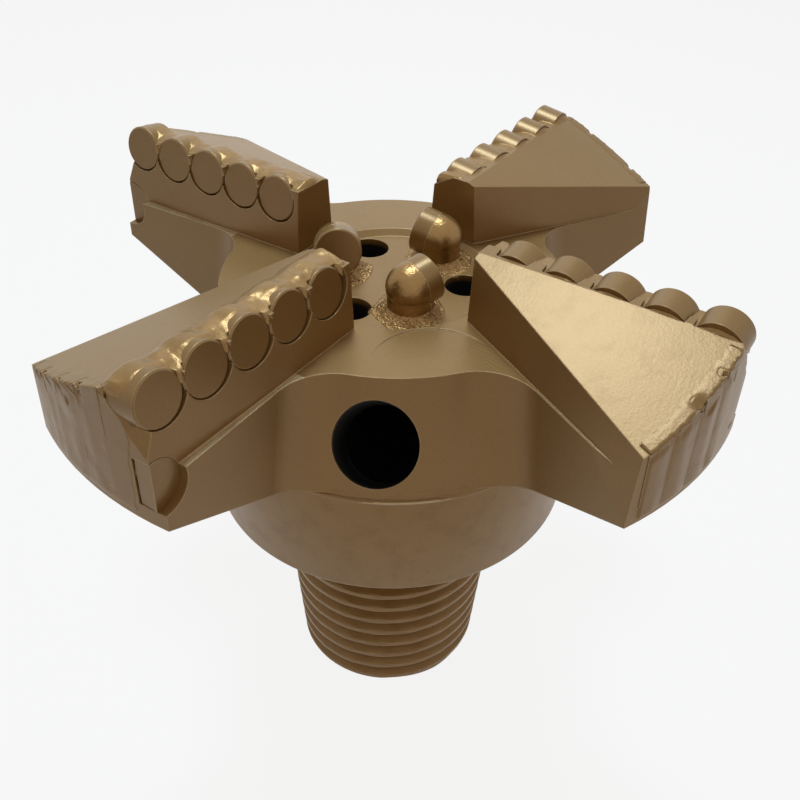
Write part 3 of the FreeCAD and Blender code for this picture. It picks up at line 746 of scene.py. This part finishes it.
def ground_tool(head, wing, number):
    """A block that grinds the trailing side of an arm and wing near the gauge."""
    (inner, inner_aside), (outer, outer_aside) = ARM_TRAILING_SIDE
    slope = (outer_aside - inner_aside) / (outer - inner)
    aside = inner_aside + (head.ground_place / MM - inner) * slope
    foot = Matrix.Translation((head.ground_place, aside * MM, wing.underside))
    turned = Matrix.Rotation(head.ground_turn, 4, "Z") @ Matrix.Rotation(-head.ground_tilt, 4, "X")
    return block_tool(f"ground_end_{number + 1}", wing_matrix(number) @ foot @ turned,
                      (0.0, -GROUND_BLOCK[1] / 2, 0.0), GROUND_BLOCK)


# A chip's upward lean as a slope, the lift of its middle as a share of its radius, and how many sides it has
CHIP_LEAN, CHIP_LIFT, CHIP_SIDES = 0.35, 0.3, 9


def chip_tool(wing, number, angle, radius, depth):
    """A short cylinder that knocks a chip out of the gauge face's upper edge, between two bars."""
    behind = -math.radians(angle)
    along, across = wing.gauge / MM * math.cos(behind), wing.gauge / MM * math.sin(behind)
    out = Vector((math.cos(behind), math.sin(behind), CHIP_LEAN)).normalized()
    edge = Vector((along * MM, across * MM, wing_top(wing, along, across) * MM + CHIP_LIFT * radius))
    where = Matrix.Translation(edge - out * depth) @ out.to_track_quat("Z", "Y").to_matrix().to_4x4()
    name = f"chip_{number + 1}_{angle}"
    return cylinder_tool(name, radius, 4 * depth, wing_matrix(number) @ where, CHIP_SIDES)


# The teeth are ground down to a slope that starts at the strip's front, on these wings
TOOTHLESS_WINGS = (0, 1)
TOOTH_SLOPE, TOOTH_START = math.radians(-30.0), 0.0002
TOOTH_REACH, TOOTH_HEIGHT, TOOTH_OVERRUN = 0.016, 0.012, 0.001


def tooth_tool(wing, number):
    """A block that grinds down the teeth between a wing's cutters, ahead of its strip."""
    root, tip = wing.root - TOOTH_OVERRUN, wing.gauge + TOOTH_OVERRUN
    root_top, tip_top = (wing_top(wing, along / MM, 0.0) for along in (root, tip))
    height = (root_top + tip_top) / 2 * MM
    fall = math.atan2((root_top - tip_top) * MM, tip - root)
    foot = Matrix.Translation(((root + tip) / 2, TOOTH_START, height))
    turned = Matrix.Rotation(fall, 4, "Y") @ Matrix.Rotation(TOOTH_SLOPE, 4, "X")
    return block_tool(f"teeth_{number + 1}", wing_matrix(number) @ foot @ turned,
                      (0.0, TOOTH_REACH / 2, TOOTH_HEIGHT / 2), (tip - root, TOOTH_REACH, TOOTH_HEIGHT))


def mill_tool(head, wing):
    """A shallow disc that leaves the milled spot beside the first wing."""
    where = Matrix.Translation((*MILL_CENTRE, wing.crown - head.mill_depth))
    return cylinder_tool("milled_spot", head.mill_radius, 0.004, where, 96)


# The ledges along the wings' leading faces, which get a painted highlight: how level they are, and in metres
# how high, far out and far ahead
LEDGE_LEVEL, LEDGE_LOWEST, LEDGE_UNDER_CROWN = 0.95, 0.1440, 0.0006
LEDGE_INNER, LEDGE_AHEAD = 0.052, (0.0065, 0.0105)


def highlight_ledges(wing, mesh):
    """Painted highlight on the narrow ledges along the wings' leading faces, where they catch the light."""
    mesh.materials.append(material_of("ledge_highlight_paint"))
    nearest, farthest = LEDGE_AHEAD
    for face in mesh.polygons:
        in_reach = LEDGE_LOWEST < face.center.z < wing.crown - LEDGE_UNDER_CROWN
        if face.normal.z < LEDGE_LEVEL or not in_reach:
            continue
        for number in range(WINGS):
            place = wing_matrix(number).inverted() @ face.center
            if place.x > LEDGE_INNER and nearest < place.y < farthest:
                face.material_index = 1


# Chips in each wing's gauge edge: turn behind the wing's line in degrees, radius and depth in millimetres
CHIPS = {0: ((12.3, 1.9, 2.2), (7.1, 0.9, 1.0)),
         3: ((7.2, 1.1, 1.3), (12.2, 0.8, 0.9), (17.4, 1.0, 1.1), (23.4, 1.3, 1.6)),
         2: ((12.4, 1.0, 1.2), (22.9, 1.0, 1.1)),
         1: ((7.0, 0.9, 1.0), (17.3, 1.2, 1.3))}


class BIT_OT_grind_head(bpy.types.Operator):
    """Grinds, chips and mills a copy of the head, which stands for it"""

    bl_idname = "bit.grind_head"
    bl_label = "Ground Head"

    def execute(self, context):
        head, wing = context.scene.bit_head, context.scene.bit_wing
        work = bmesh.new()
        work.from_mesh(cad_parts["bit_head"].data)
        bmesh.ops.remove_doubles(work, verts=work.verts, dist=1e-6)
        mesh = bpy.data.meshes.new("ground_head")
        work.to_mesh(mesh)
        work.free()
        mesh.materials.clear()
        piece = dress_piece("ground_head", mesh, "bit_head_paint", 32.0)
        tools = [ground_tool(head, wing, number) for number in range(WINGS)]
        tools += [chip_tool(wing, number, angle, radius * MM, depth * MM)
                  for number, chips in CHIPS.items() for angle, radius, depth in chips]
        tools += [tooth_tool(wing, number) for number in TOOTHLESS_WINGS]
        tools.append(mill_tool(head, wing))
        cut_away(piece, tools)
        carry_normals(piece.data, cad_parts["bit_head"].data)
        highlight_ledges(wing, piece.data)
        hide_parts("bit_head")
        return {"FINISHED"}


# The seam's weld, in millimetres and degrees. Headings are turns from its front, and rises are from the seam.
SEAM_FRONT = -65.0
SEAM_REACH, SEAM_STEP_IN = 1.8, 0.62
SEAM_BEAD, SEAM_SUNK = 0.10, 0.25
OPEN_START, OPEN_END = (-22.0, -14.0), (22.0, 30.0)
LIP_PROUD, LIP_RISE, LIP_WIDTH, LIP_START = 0.34, -0.62, 0.34, (-6.0, 4.0)
SLIT_DEPTH, SLIT_RISE, SLIT_WIDTH = 0.6, 0.05, 0.22
# The lip's painted highlight: its middle heading and half its length
RIM_HIGHLIGHT_HEADING, RIM_HIGHLIGHT_HALF_LENGTH = 14.0, 13.0


def seam_proud(heading, rise):
    """How far the weld stands out: a dressed bead, or a slit under a rolled lip where it was left open."""
    open_part = ease(heading, *OPEN_START) * (1.0 - ease(heading, *OPEN_END))
    edge = 1.0 - abs(rise) / SEAM_REACH
    smooth = SEAM_BEAD * ease(edge, 0.0, 0.5) - SEAM_SUNK * (1 - ease(edge, 0.0, 0.25))
    lip = LIP_PROUD * hump(rise, LIP_RISE, LIP_WIDTH) * ease(heading, *LIP_START)
    slit = SLIT_DEPTH * hump(rise, SLIT_RISE, SLIT_WIDTH)
    return blend(open_part, smooth, smooth + lip - slit)


def seam_rings(seam, collar):
    """Rings of the seam's weld, from the collar up to the head and back inside them."""
    around, steps = 360, 24
    rings = []
    for step in range(steps + 1):
        rise = blend(step / steps, -SEAM_REACH, SEAM_REACH)
        ring = []
        for number in range(around):
            angle = math.tau * number / around
            x, y = math.cos(angle), math.sin(angle)
            heading = (math.degrees(angle) - SEAM_FRONT + 180.0) % 360.0 - 180.0
            proud = seam_proud(heading, rise) + 0.04 * uneven(40 * x, 40 * y, rise, 0.35)
            radius = blend(ease(rise, -0.6, 1.1), collar, collar - SEAM_STEP_IN) + proud
            ring.append((radius * x, radius * y, seam + rise))
        rings.append(ring)
    inner = collar - 3.0
    rings.append([(x * inner / collar, y * inner / collar, z - 0.6) for x, y, z in rings[-1]])
    rings.append([(x, y, seam - 0.9) for x, y, _ in rings[-1]])
    return rings


class BIT_OT_weld_seam(bpy.types.Operator):
    """Lays the dressed weld in the seam between the collar and the head, with a painted highlight along the lip
    where it was left open
    """

    bl_idname = "bit.weld_seam"
    bl_label = "Seam Weld"

    def execute(self, context):
        pin = context.scene.bit_pin
        seam, collar = pin.seam_height / MM, pin.collar_radius / MM
        points, faces = ring_surface(seam_rings(seam, collar))
        weld = mesh_piece("seam_weld", points, faces, "bit_head_paint").data
        # Painted highlight: a bright line of the edge colour along the lip
        weld.materials.append(material_of("ledge_highlight_paint"))
        for face in weld.polygons:
            heading = math.degrees(math.atan2(face.center.y, face.center.x)) - SEAM_FRONT
            share = (heading - RIM_HIGHLIGHT_HEADING) / RIM_HIGHLIGHT_HALF_LENGTH
            if abs(face.center.z / MM - seam - LIP_RISE) < LIP_WIDTH * math.sqrt(max(0.0, 1.0 - share ** 2)):
                face.material_index = 1
        return {"FINISHED"}


# Braze


def wing_place(number, along, across, height):
    """A point of a wing, from its place along and across the wing."""
    turn = math.tau * number / WINGS
    return (along * math.cos(turn) - across * math.sin(turn),
            along * math.sin(turn) + across * math.cos(turn), height)


def along_share(wing, along):
    """How far along a wing a place is: nought at the root and one at the tip section."""
    return (along - wing.root / MM) / (wing.tip / MM - wing.root / MM)


# A wing at its root and its tip section, in millimetres: the strip's back edge behind the line, and its rise
STRIP_BACK, STRIP_RISE = (5.0, 2.6), (19.2, 18.4)


def wing_top(wing, along, across):
    """Height of the wing's top, which falls away behind its strip."""
    share = along_share(wing, along)
    behind = max(0.0, -blend(share, *STRIP_BACK) - across)
    return wing.crown / MM + blend(share, *STRIP_RISE) - behind * wing.relief


def nearest_cutter(wing, along):
    """The number of the cutter nearest to a place along a wing, and how far off its middle that is."""
    outer, pitch = (wing.gauge - wing.cutter_radius) / MM, wing.cutter_pitch / MM
    place = min(FACE_CUTTERS - 1, max(0, round((outer - along) / pitch)))
    return place, along - (outer - place * pitch)


# How much lower each cutter lies than the one outside it, in millimetres, and where and how fast its side falls
CUTTER_DROP, CUTTER_SHOULDER, CUTTER_FALL = 0.2, 0.985, 4.0


def cutter_top(wing, place, beside, across):
    """Height of a face cutter's upper side, carried on past its sides as a steep slope."""
    radius = wing.cutter_radius / MM
    axis = (wing.crown + wing.cutter_height) / MM - CUTTER_DROP * place
    axis -= (wing.cutter_lead / MM - across) * math.tan(wing.cutter_rake)
    inside = min(abs(beside), radius * CUTTER_SHOULDER)
    over = max(0.0, abs(beside) - inside)
    return axis + math.sqrt(radius ** 2 - inside ** 2) / math.cos(wing.cutter_rake) - CUTTER_FALL * over


# The braze, in millimetres: how far its hidden parts lie under the wing's top, and its fillets. The pairs run
# from the thinnest braze to the fullest: how far it reaches behind the cutters, and how it stands on them.
BRAZE_HIDDEN, BRAZE_FILLET = 0.9, 1.6
BRAZE_TAIL, BRAZE_SKIN = (0.9, 4.3), (-1.1, 0.24)


def braze_height(wing, number, along, across):
    """Height of the braze, draped over the cutters' backs and sagging between them."""
    full, seed = wing.braze[number], 11.3 * number
    top = wing_top(wing, along, across)
    place, beside = nearest_cutter(wing, along)
    wave = uneven(along, across, 0.0, 0.16, 2, seed)
    lump = uneven(along, 0.6 * across, 2.0, 0.40, 3, seed)
    foot = -2.4 - blend(full, *BRAZE_TAIL) - 0.7 * wave
    behind = ease(across, foot, -2.0)
    crest = cutter_top(wing, place, beside, max(across, -2.1))
    skin = blend(full, *BRAZE_SKIN) - 0.45 * max(0.0, across - 1.8 - 0.6 * wave)
    drape = blend(behind, top - BRAZE_HIDDEN, crest + skin)
    web = blend(ease(across, 5.8, 1.5), 0.5, 1.75 + 0.45 * wave) + BRAZE_HIDDEN
    between = top - BRAZE_HIDDEN + full * web * ease(across, foot - 0.5, -0.8) - 0.9 * ease(across, 5.4, 6.2)
    present = full * ease(across, foot - 1.2, foot + 0.6)
    return soft_max(drape, between, BRAZE_FILLET) + present * (0.10 * lump + 0.06 * wave)


def braze_front(beside):
    """Where the braze ends ahead: under the cutters' tops, and nearly at the wing's face between them."""
    return blend(ease(abs(beside), 5.4, 6.4), 4.4, 6.15)


# The braze's hidden back edge behind the wing's line, its sunken rim and base, and the ground outer corner
BRAZE_BACK, BRAZE_BACK_WIDEST, BRAZE_WIDENING = 7.5, 8.6, 0.1
BRAZE_RIM, BRAZE_THICKNESS = 0.9, 2.4
GROUND_CORNER_START, GROUND_CORNER_FALL = 93.0, 3.2


def braze_rows(wing, number):
    """The braze's upper side as rows across a wing, and how far each point's copy is sunk."""
    start, end = wing.root / MM + 0.25, wing.gauge / MM - 0.6
    along_steps, across_steps = 260, 44
    rows, depths = [], []
    for i in range(along_steps + 1):
        along = blend(i / along_steps, start, end)
        front = braze_front(nearest_cutter(wing, along)[1])
        back = -min(BRAZE_BACK_WIDEST, BRAZE_BACK + BRAZE_WIDENING * (along - start))
        row = []
        for j in range(across_steps + 1):
            across = blend(j / across_steps, back, front)
            height = braze_height(wing, number, along, across)
            edge = min(along - start, end - along, across - back)
            height -= 1.0 - ease(edge, 0.0, BRAZE_RIM)
            if along > GROUND_CORNER_START:
                height -= GROUND_CORNER_FALL * ease(0.46 * (across - 5.9) + 0.81 * (along - 93.3), 1.2, 4.5)
            row.append(wing_place(number, along, across, height))
        rows.append(row)
        depths.append([(0.0, 0.0, BRAZE_THICKNESS)] * len(row))
    return rows, depths


class BIT_OT_lay_braze(bpy.types.Operator):
    """Lays the braze over and between the cutters along the top of each wing"""

    bl_idname = "bit.lay_braze"
    bl_label = "Braze"

    def execute(self, context):
        for number in range(WINGS):
            points, faces = slab(*braze_rows(context.scene.bit_wing, number))
            mesh_piece(f"braze_{number + 1}", points, faces, "braze_paint", 60.0)
        return {"FINISHED"}


# How strongly the bars show through each wing's gauge braze, and the least that it stands proud
RIB_SHARE, GAUGE_LEAST = (1.0, 0.6, 0.3, 0.25), 0.10


def gauge_proud(wing, number, angle, height):
    """How far the braze stands out of the gauge face: a soft rib over each bar, with streaks and dents."""
    first, step = math.degrees(wing.bar_first), math.degrees(wing.bar_step)
    bars = (angle - first) / step
    rib = RIB_SHARE[number] * abs(math.cos(math.pi * bars)) ** 0.7
    seed = 5.0 * number
    offset = wing.gauge / MM * math.radians(angle)
    streak = uneven(offset, 0.0, height * 0.10, 0.20, 2, seed)
    dent = uneven(offset, 3.0, height, 0.12, 2, seed)
    return max(GAUGE_LEAST, 0.17 + 0.34 * rib + 0.12 * streak + 0.20 * dent)


# Just inside half the width of the solids' box, in millimetres
BOX_REACH = 100.07


def gauge_reach(wing, angle, proud):
    """Radius of the gauge braze at a turn behind the wing's line, kept inside the solids' box."""
    widest = BOX_REACH / math.cos(math.radians(angle))
    return min(wing.gauge / MM + proud, widest)


# Where the gauge braze starts: heights in millimetres, and turns behind the wing's line in degrees
LEADING_END = ((130.0, -1.3), (148.0, -1.6), (151.0, -1.9), (154.0, -2.3), (157.0, -2.0), (159.0, -1.3),
               (161.0, -0.2), (163.5, 1.0), (166.0, 2.3))


def leading_end(height, seed):
    """Turn behind the wing's line, in degrees, where the gauge braze starts at a height."""
    angle = LEADING_END[-1][1]
    for (low, first), (high, second) in zip(LEADING_END, LEADING_END[1:]):
        if height < high:
            angle = blend(max(0.0, (height - low) / (high - low)), first, second)
            break
    return angle + 0.35 * uneven(height, 0.0, 0.0, 0.35, 3, seed)


# The gauge braze: its turns behind the wing's line in degrees, its steps over the top and down the face, and
# how many of these the edge and the foot take up. In millimetres: its inner radius on the top, how far over
# the underside it ends, and its radius at the edge where it has faded out.
TOP_START, GAUGE_END = 2.3, 22.0
TOP_STEPS, FACE_STEPS, EDGE_STEPS, FOOT_STEPS = 8, 40, 5, 3
TOP_INNER, GAUGE_FOOT, FADED_EDGE = 95.3, 0.3, 98.6


def gauge_column(wing, number, across, fade):
    """A column of the gauge braze, from over the bars' tops, round the chipped edge and down the face."""
    seed = 7.0 * number
    angle = blend(across, TOP_START, GAUGE_END)
    inner = TOP_INNER + uneven(angle * 1.3, 5.0, 0.0, 0.5, 2, seed)
    bite = max(hump(angle, place, 0.45 * width) for place, width, _ in CHIPS[number])
    turn = -math.radians(angle)
    rag = uneven(angle * 1.7, 0.0, 0.0, 0.55, 3, seed)
    edge_radius = gauge_reach(wing, angle, 0.10 + 0.75 * max(0.0, rag))
    lower = wing.underside / MM + GAUGE_FOOT
    fade = ease(fade, 0.0, 1.0)
    column, depths = [], []
    for step in range(TOP_STEPS + 1):
        share = step / TOP_STEPS
        radius = blend(share, inner, edge_radius - 0.25)
        top = wing_top(wing, radius * math.cos(turn), radius * math.sin(turn))
        ripple = 0.06 * uneven(radius, angle * 1.7, 0.0, 0.3, 2, seed)
        proud = blend(ease(share, 0.0, 0.5), -0.12, 0.13 + ripple)
        laid = fade * (1.0 - bite * ease(share, 0.35, 1.0))
        column.append((radius, turn, top + blend(laid, -1.2, proud)))
        depths.append((0.0, 1.0))
    edge_top = column[-1][2]
    column.append((blend(fade * (1.0 - bite), FADED_EDGE, edge_radius), turn, edge_top - 0.35))
    depths.append((0.7, 0.7))
    for step in range(1, FACE_STEPS + 1):
        height = blend(step / FACE_STEPS, edge_top - 0.7, lower)
        angle = blend(across, leading_end(height, seed), GAUGE_END)
        near_edge = 1.0 - ease(step, 0, EDGE_STEPS)
        near_foot = ease(step, FACE_STEPS - FOOT_STEPS, FACE_STEPS)
        proud = gauge_proud(wing, number, angle, height)
        proud = blend(near_edge, proud, edge_radius - wing.gauge / MM - 0.1)
        proud = blend(near_foot, proud, -0.2)
        laid = fade * (1.0 - bite * (1.0 - ease(step, 1, EDGE_STEPS)))
        column.append((gauge_reach(wing, angle, blend(laid, -0.8, proud)), -math.radians(angle), height))
        depths.append((1.0, 0.0))
    return column, depths


class BIT_OT_smear_gauge(bpy.types.Operator):
    """Smears braze over the bars, round the gauge's upper edge and down its face"""

    bl_idname = "bit.smear_gauge"
    bl_label = "Gauge Braze"

    def execute(self, context):
        wing = context.scene.bit_wing
        around, fade_in, fade_out = 150, 5, 4
        for number in range(WINGS):
            rows, depths = [], []
            for i in range(around + 1):
                fade = min(1.0, i / fade_in, (around - i) / fade_out)
                column, sunk = gauge_column(wing, number, i / around, fade)
                row = [wing_place(number, r * math.cos(turn), r * math.sin(turn), z) for r, turn, z in column]
                turn = column[0][1]
                x, y, z = wing_place(number, math.cos(turn), math.sin(turn), 0.0)
                rows.append(row)
                depths.append([(x * inward, y * inward, down) for inward, down in sunk])
            points, faces = slab(rows, depths)
            mesh_piece(f"gauge_braze_{number + 1}", points, faces, "gauge_braze_paint", 50.0)
        return {"FINISHED"}


# Centre


# The centre posts, in millimetres and degrees: where their cutters lie, and how far behind the stems stand
POST_RADIUS, POST_TURN, POST_SETBACK, POST_RAKE = 16.15, 100.5, 6.8, 12.0


def post_foot(number):
    """Middle of a centre post's stem on the crown, in millimetres."""
    turn = math.radians(POST_TURN + 360.0 / POSTS * number)
    ahead = -POST_SETBACK * math.cos(math.radians(POST_RAKE))
    return (POST_RADIUS * math.cos(turn) - ahead * math.sin(turn),
            POST_RADIUS * math.sin(turn) + ahead * math.cos(turn))


# The posts' welds, in millimetres: radius inside the stem, reach and how much it strays, height, and base
WELD_INNER, WELD_REACH, WELD_STRAY = 6.0, 10.6, 1.9
WELD_BODY, WELD_PUDDLE, WELD_CRUMBS, WELD_BASE = 2.3, 0.35, 0.42, 1.4


def weld_rings(number, floor):
    """Rings of a post's weld, from the stem out to its feathered edge, and its sunken base."""
    around, steps = 150, 30
    foot_x, foot_y = post_foot(number)
    rings = []
    for step in range(steps + 1):
        share = step / steps
        ring = []
        for spoke in range(around):
            angle = math.tau * spoke / around
            x, y = math.cos(angle), math.sin(angle)
            reach = WELD_REACH + WELD_STRAY * uneven(x, y, number, 1.0, 2, 7.0 * number)
            radius = blend(share, WELD_INNER, reach)
            crumbs = uneven(radius * x, radius * y, number, 0.9, 4, 3.0 * number)
            lumps = 1.0 + 0.3 * uneven(x, y, 4.0, 1.3, 2, number)
            body = WELD_BODY * (1.0 - ease(share, -0.15, 0.75)) * lumps
            puddle = WELD_PUDDLE * (1.0 - ease(share, 0.75, 1.0))
            rubble = WELD_CRUMBS * crumbs * ease(share, 0.0, 0.1) * (1.0 - ease(share, 0.6, 0.95))
            height = body + puddle + rubble
            height = blend(ease(share, 0.9, 1.0), max(height, 0.1), -0.3)
            ring.append((foot_x + radius * x, foot_y + radius * y, floor + height))
        rings.append(ring)
    for edge in (rings[-1], rings[0]):
        rings.append([(x, y, floor - WELD_BASE) for x, y, _ in edge])
    return rings


class BIT_OT_weld_posts(bpy.types.Operator):
    """Runs the rough weld round the foot of each centre post"""

    bl_idname = "bit.weld_posts"
    bl_label = "Post Welds"

    def execute(self, context):
        recess = 1.8
        floor = context.scene.bit_wing.crown / MM - recess
        for number in range(POSTS):
            points, faces = ring_surface(weld_rings(number, floor))
            name = f"post_weld_bead_{number + 1}"
            piece = mesh_piece(name, points, faces, "weld_paint", 60.0)
            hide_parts(f"post_weld_{number + 1}")
        return {"FINISHED"}


class BIT_OT_paint_solids(bpy.types.Operator):
    """Paints the bit's plain solids"""

    bl_idname = "bit.paint_solids"
    bl_label = "Paint"

    def execute(self, context):
        kinds = (("face_cutter", "cutter_face_paint"), ("gauge_cutter", "cutter_face_paint"),
                 ("centre_cutter", "cutter_face_paint"), ("gauge_bar", "gauge_bar_paint"),
                 ("centre_post", "post_paint"), ("", "bit_head_paint"))
        for name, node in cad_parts.items():
            material = next(paint for start, paint in kinds if name.startswith(start))
            node.data.materials.clear()
            node.data.materials.append(material_of(material))
        return {"FINISHED"}


# Studio


def room_seen(tree):
    """One where the camera, a reflection or a clear piece looks at the room, and nought for its light."""
    path = add_node(tree, "ShaderNodeLightPath")
    seen = maths(tree, "MAXIMUM", path.outputs["Is Camera Ray"], path.outputs["Is Glossy Ray"])
    return maths(tree, "MAXIMUM", seen, path.outputs["Is Transmission Ray"])


FLOOR_SHADE, FLOOR_GLOW = (0.70, 0.70, 0.70, 1), 0.88


def floor_material():
    """Near-white floor that shows white to the camera and in gloss, and keeps the shadow."""
    material = bpy.data.materials.new("studio_floor")
    material.use_nodes = True
    tree = material.node_tree
    shader = tree.nodes["Principled BSDF"]
    shader.inputs["Base Color"].default_value = FLOOR_SHADE
    shader.inputs["Roughness"].default_value = 0.9
    shader.inputs["Specular IOR Level"].default_value = 0.1
    glow = add_node(tree, "ShaderNodeEmission", {"Color": (1, 1, 1, 1), "Strength": 1.0})
    both = add_node(tree, "ShaderNodeMixShader", {0: maths(tree, "MULTIPLY", room_seen(tree), FLOOR_GLOW),
                                                  1: shader.outputs[0], 2: glow.outputs[0]})
    tree.links.new(both.outputs[0], tree.nodes["Material Output"].inputs["Surface"])
    return material


def room_world(room):
    """An even warm room that is white where it is seen or reflected."""
    world = bpy.data.worlds.new("room")
    world.use_nodes = True
    tree = world.node_tree
    colour = mixed(tree, room_seen(tree), rgba(room), (1, 1, 1, 1))
    put_in(tree, tree.nodes["Background"].inputs["Color"], colour)
    bpy.context.scene.world = world


def area_lamp(name, place, aim, size, power, colour, glossy=True):
    """A square lamp aimed at a height on the bit's axis. One that is not glossy makes no highlight."""
    data = bpy.data.lights.new(name, "AREA")
    data.shape = "SQUARE"
    data.size = size
    data.energy = power
    data.color = colour
    lamp = bpy.data.objects.new(name, data)
    lamp.location = place
    lamp.visible_glossy = glossy
    lamp.rotation_euler = (Vector((0.0, 0.0, aim)) - Vector(place)).to_track_quat("-Z", "Y").to_euler()
    bpy.context.scene.collection.objects.link(lamp)


def place_camera(studio):
    """The camera at the photograph's view."""
    data = bpy.data.cameras.new("camera")
    data.sensor_width = 36.0
    data.lens = studio.lens
    data.shift_x, data.shift_y = studio.shift_x, studio.shift_y
    data.clip_start, data.clip_end = 0.01, 50.0
    camera = bpy.data.objects.new("camera", data)
    az, el = studio.azimuth, studio.pitch
    ahead = Vector((math.sin(az) * math.cos(el), math.cos(az) * math.cos(el), -math.sin(el)))
    level = Vector((math.cos(az), -math.sin(az), 0.0))
    upright = level.cross(ahead)
    right = level * math.cos(studio.roll) + upright * math.sin(studio.roll)
    up = upright * math.cos(studio.roll) - level * math.sin(studio.roll)
    turn = Matrix((right, up, -ahead)).transposed()
    camera.matrix_world = Matrix.Translation(studio.camera) @ turn.to_4x4()
    bpy.context.scene.collection.objects.link(camera)
    bpy.context.scene.camera = camera


class BIT_OT_set_stage(bpy.types.Operator):
    """Sets the camera, the soft lamps, the pale room and the floor"""

    bl_idname = "bit.set_stage"
    bl_label = "Studio"

    def execute(self, context):
        studio = context.scene.bit_studio
        context.scene.view_settings.view_transform = "Standard"
        place_camera(studio)
        room_world(studio.room)
        area_lamp("key_lamp", place=(-0.19, 0.18, 1.05), aim=0.12, size=studio.key_size,
                  power=studio.key_power, colour=(0.74, 0.91, 1.0))
        area_lamp("back_lamp", place=(-0.55, 0.80, 0.72), aim=0.14, size=0.6,
                  power=studio.back_power, colour=(1.0, 0.98, 0.95))
        area_lamp("fill_lamp", place=(0.30, -0.30, 0.34), aim=0.15, size=0.3,
                  power=studio.fill_power, colour=(1.0, 0.78, 0.52), glossy=False)
        bpy.ops.mesh.primitive_circle_add(vertices=96, radius=studio.floor_radius, fill_type="NGON")
        floor = context.object
        floor.name = "studio_floor"
        floor.data.materials.append(floor_material())
        return {"FINISHED"}


class BIT_PT_panel(bpy.types.Panel):
    """The bit's pieces, in the order that they are made"""

    bl_idname = "BIT_PT_panel"
    bl_label = "Drag Bit"
    bl_space_type = "VIEW_3D"
    bl_region_type = "UI"
    bl_category = "Drag Bit"

    def draw(self, context):
        for place in SETTINGS:
            settings = getattr(context.scene, place)
            column = self.layout.column()
            for name in settings.__annotations__:
                column.prop(settings, name)
        for step in STEPS:
            self.layout.operator(step.bl_idname)


SETTINGS = {"bit_paint": PaintSettings, "bit_pin": PinSettings, "bit_wing": WingSettings,
            "bit_head": HeadSettings, "bit_studio": StudioSettings}
STEPS = (BIT_OT_set_stage, BIT_OT_paint_solids, BIT_OT_turn_pin, BIT_OT_grind_head, BIT_OT_weld_seam,
         BIT_OT_lay_braze, BIT_OT_smear_gauge, BIT_OT_weld_posts)


def register():
    for kind in (*SETTINGS.values(), *STEPS, BIT_PT_panel):
        bpy.utils.register_class(kind)
    for name, kind in SETTINGS.items():
        setattr(bpy.types.Scene, name, bpy.props.PointerProperty(type=kind))


def unregister():
    for name in SETTINGS:
        delattr(bpy.types.Scene, name)
    for kind in (BIT_PT_panel, *STEPS, *SETTINGS.values()):
        bpy.utils.unregister_class(kind)


def main():
    register()
    for step in STEPS:
        group, call = step.bl_idname.split(".")
        getattr(getattr(bpy.ops, group), call)()


if __name__ == "__main__":
    main()
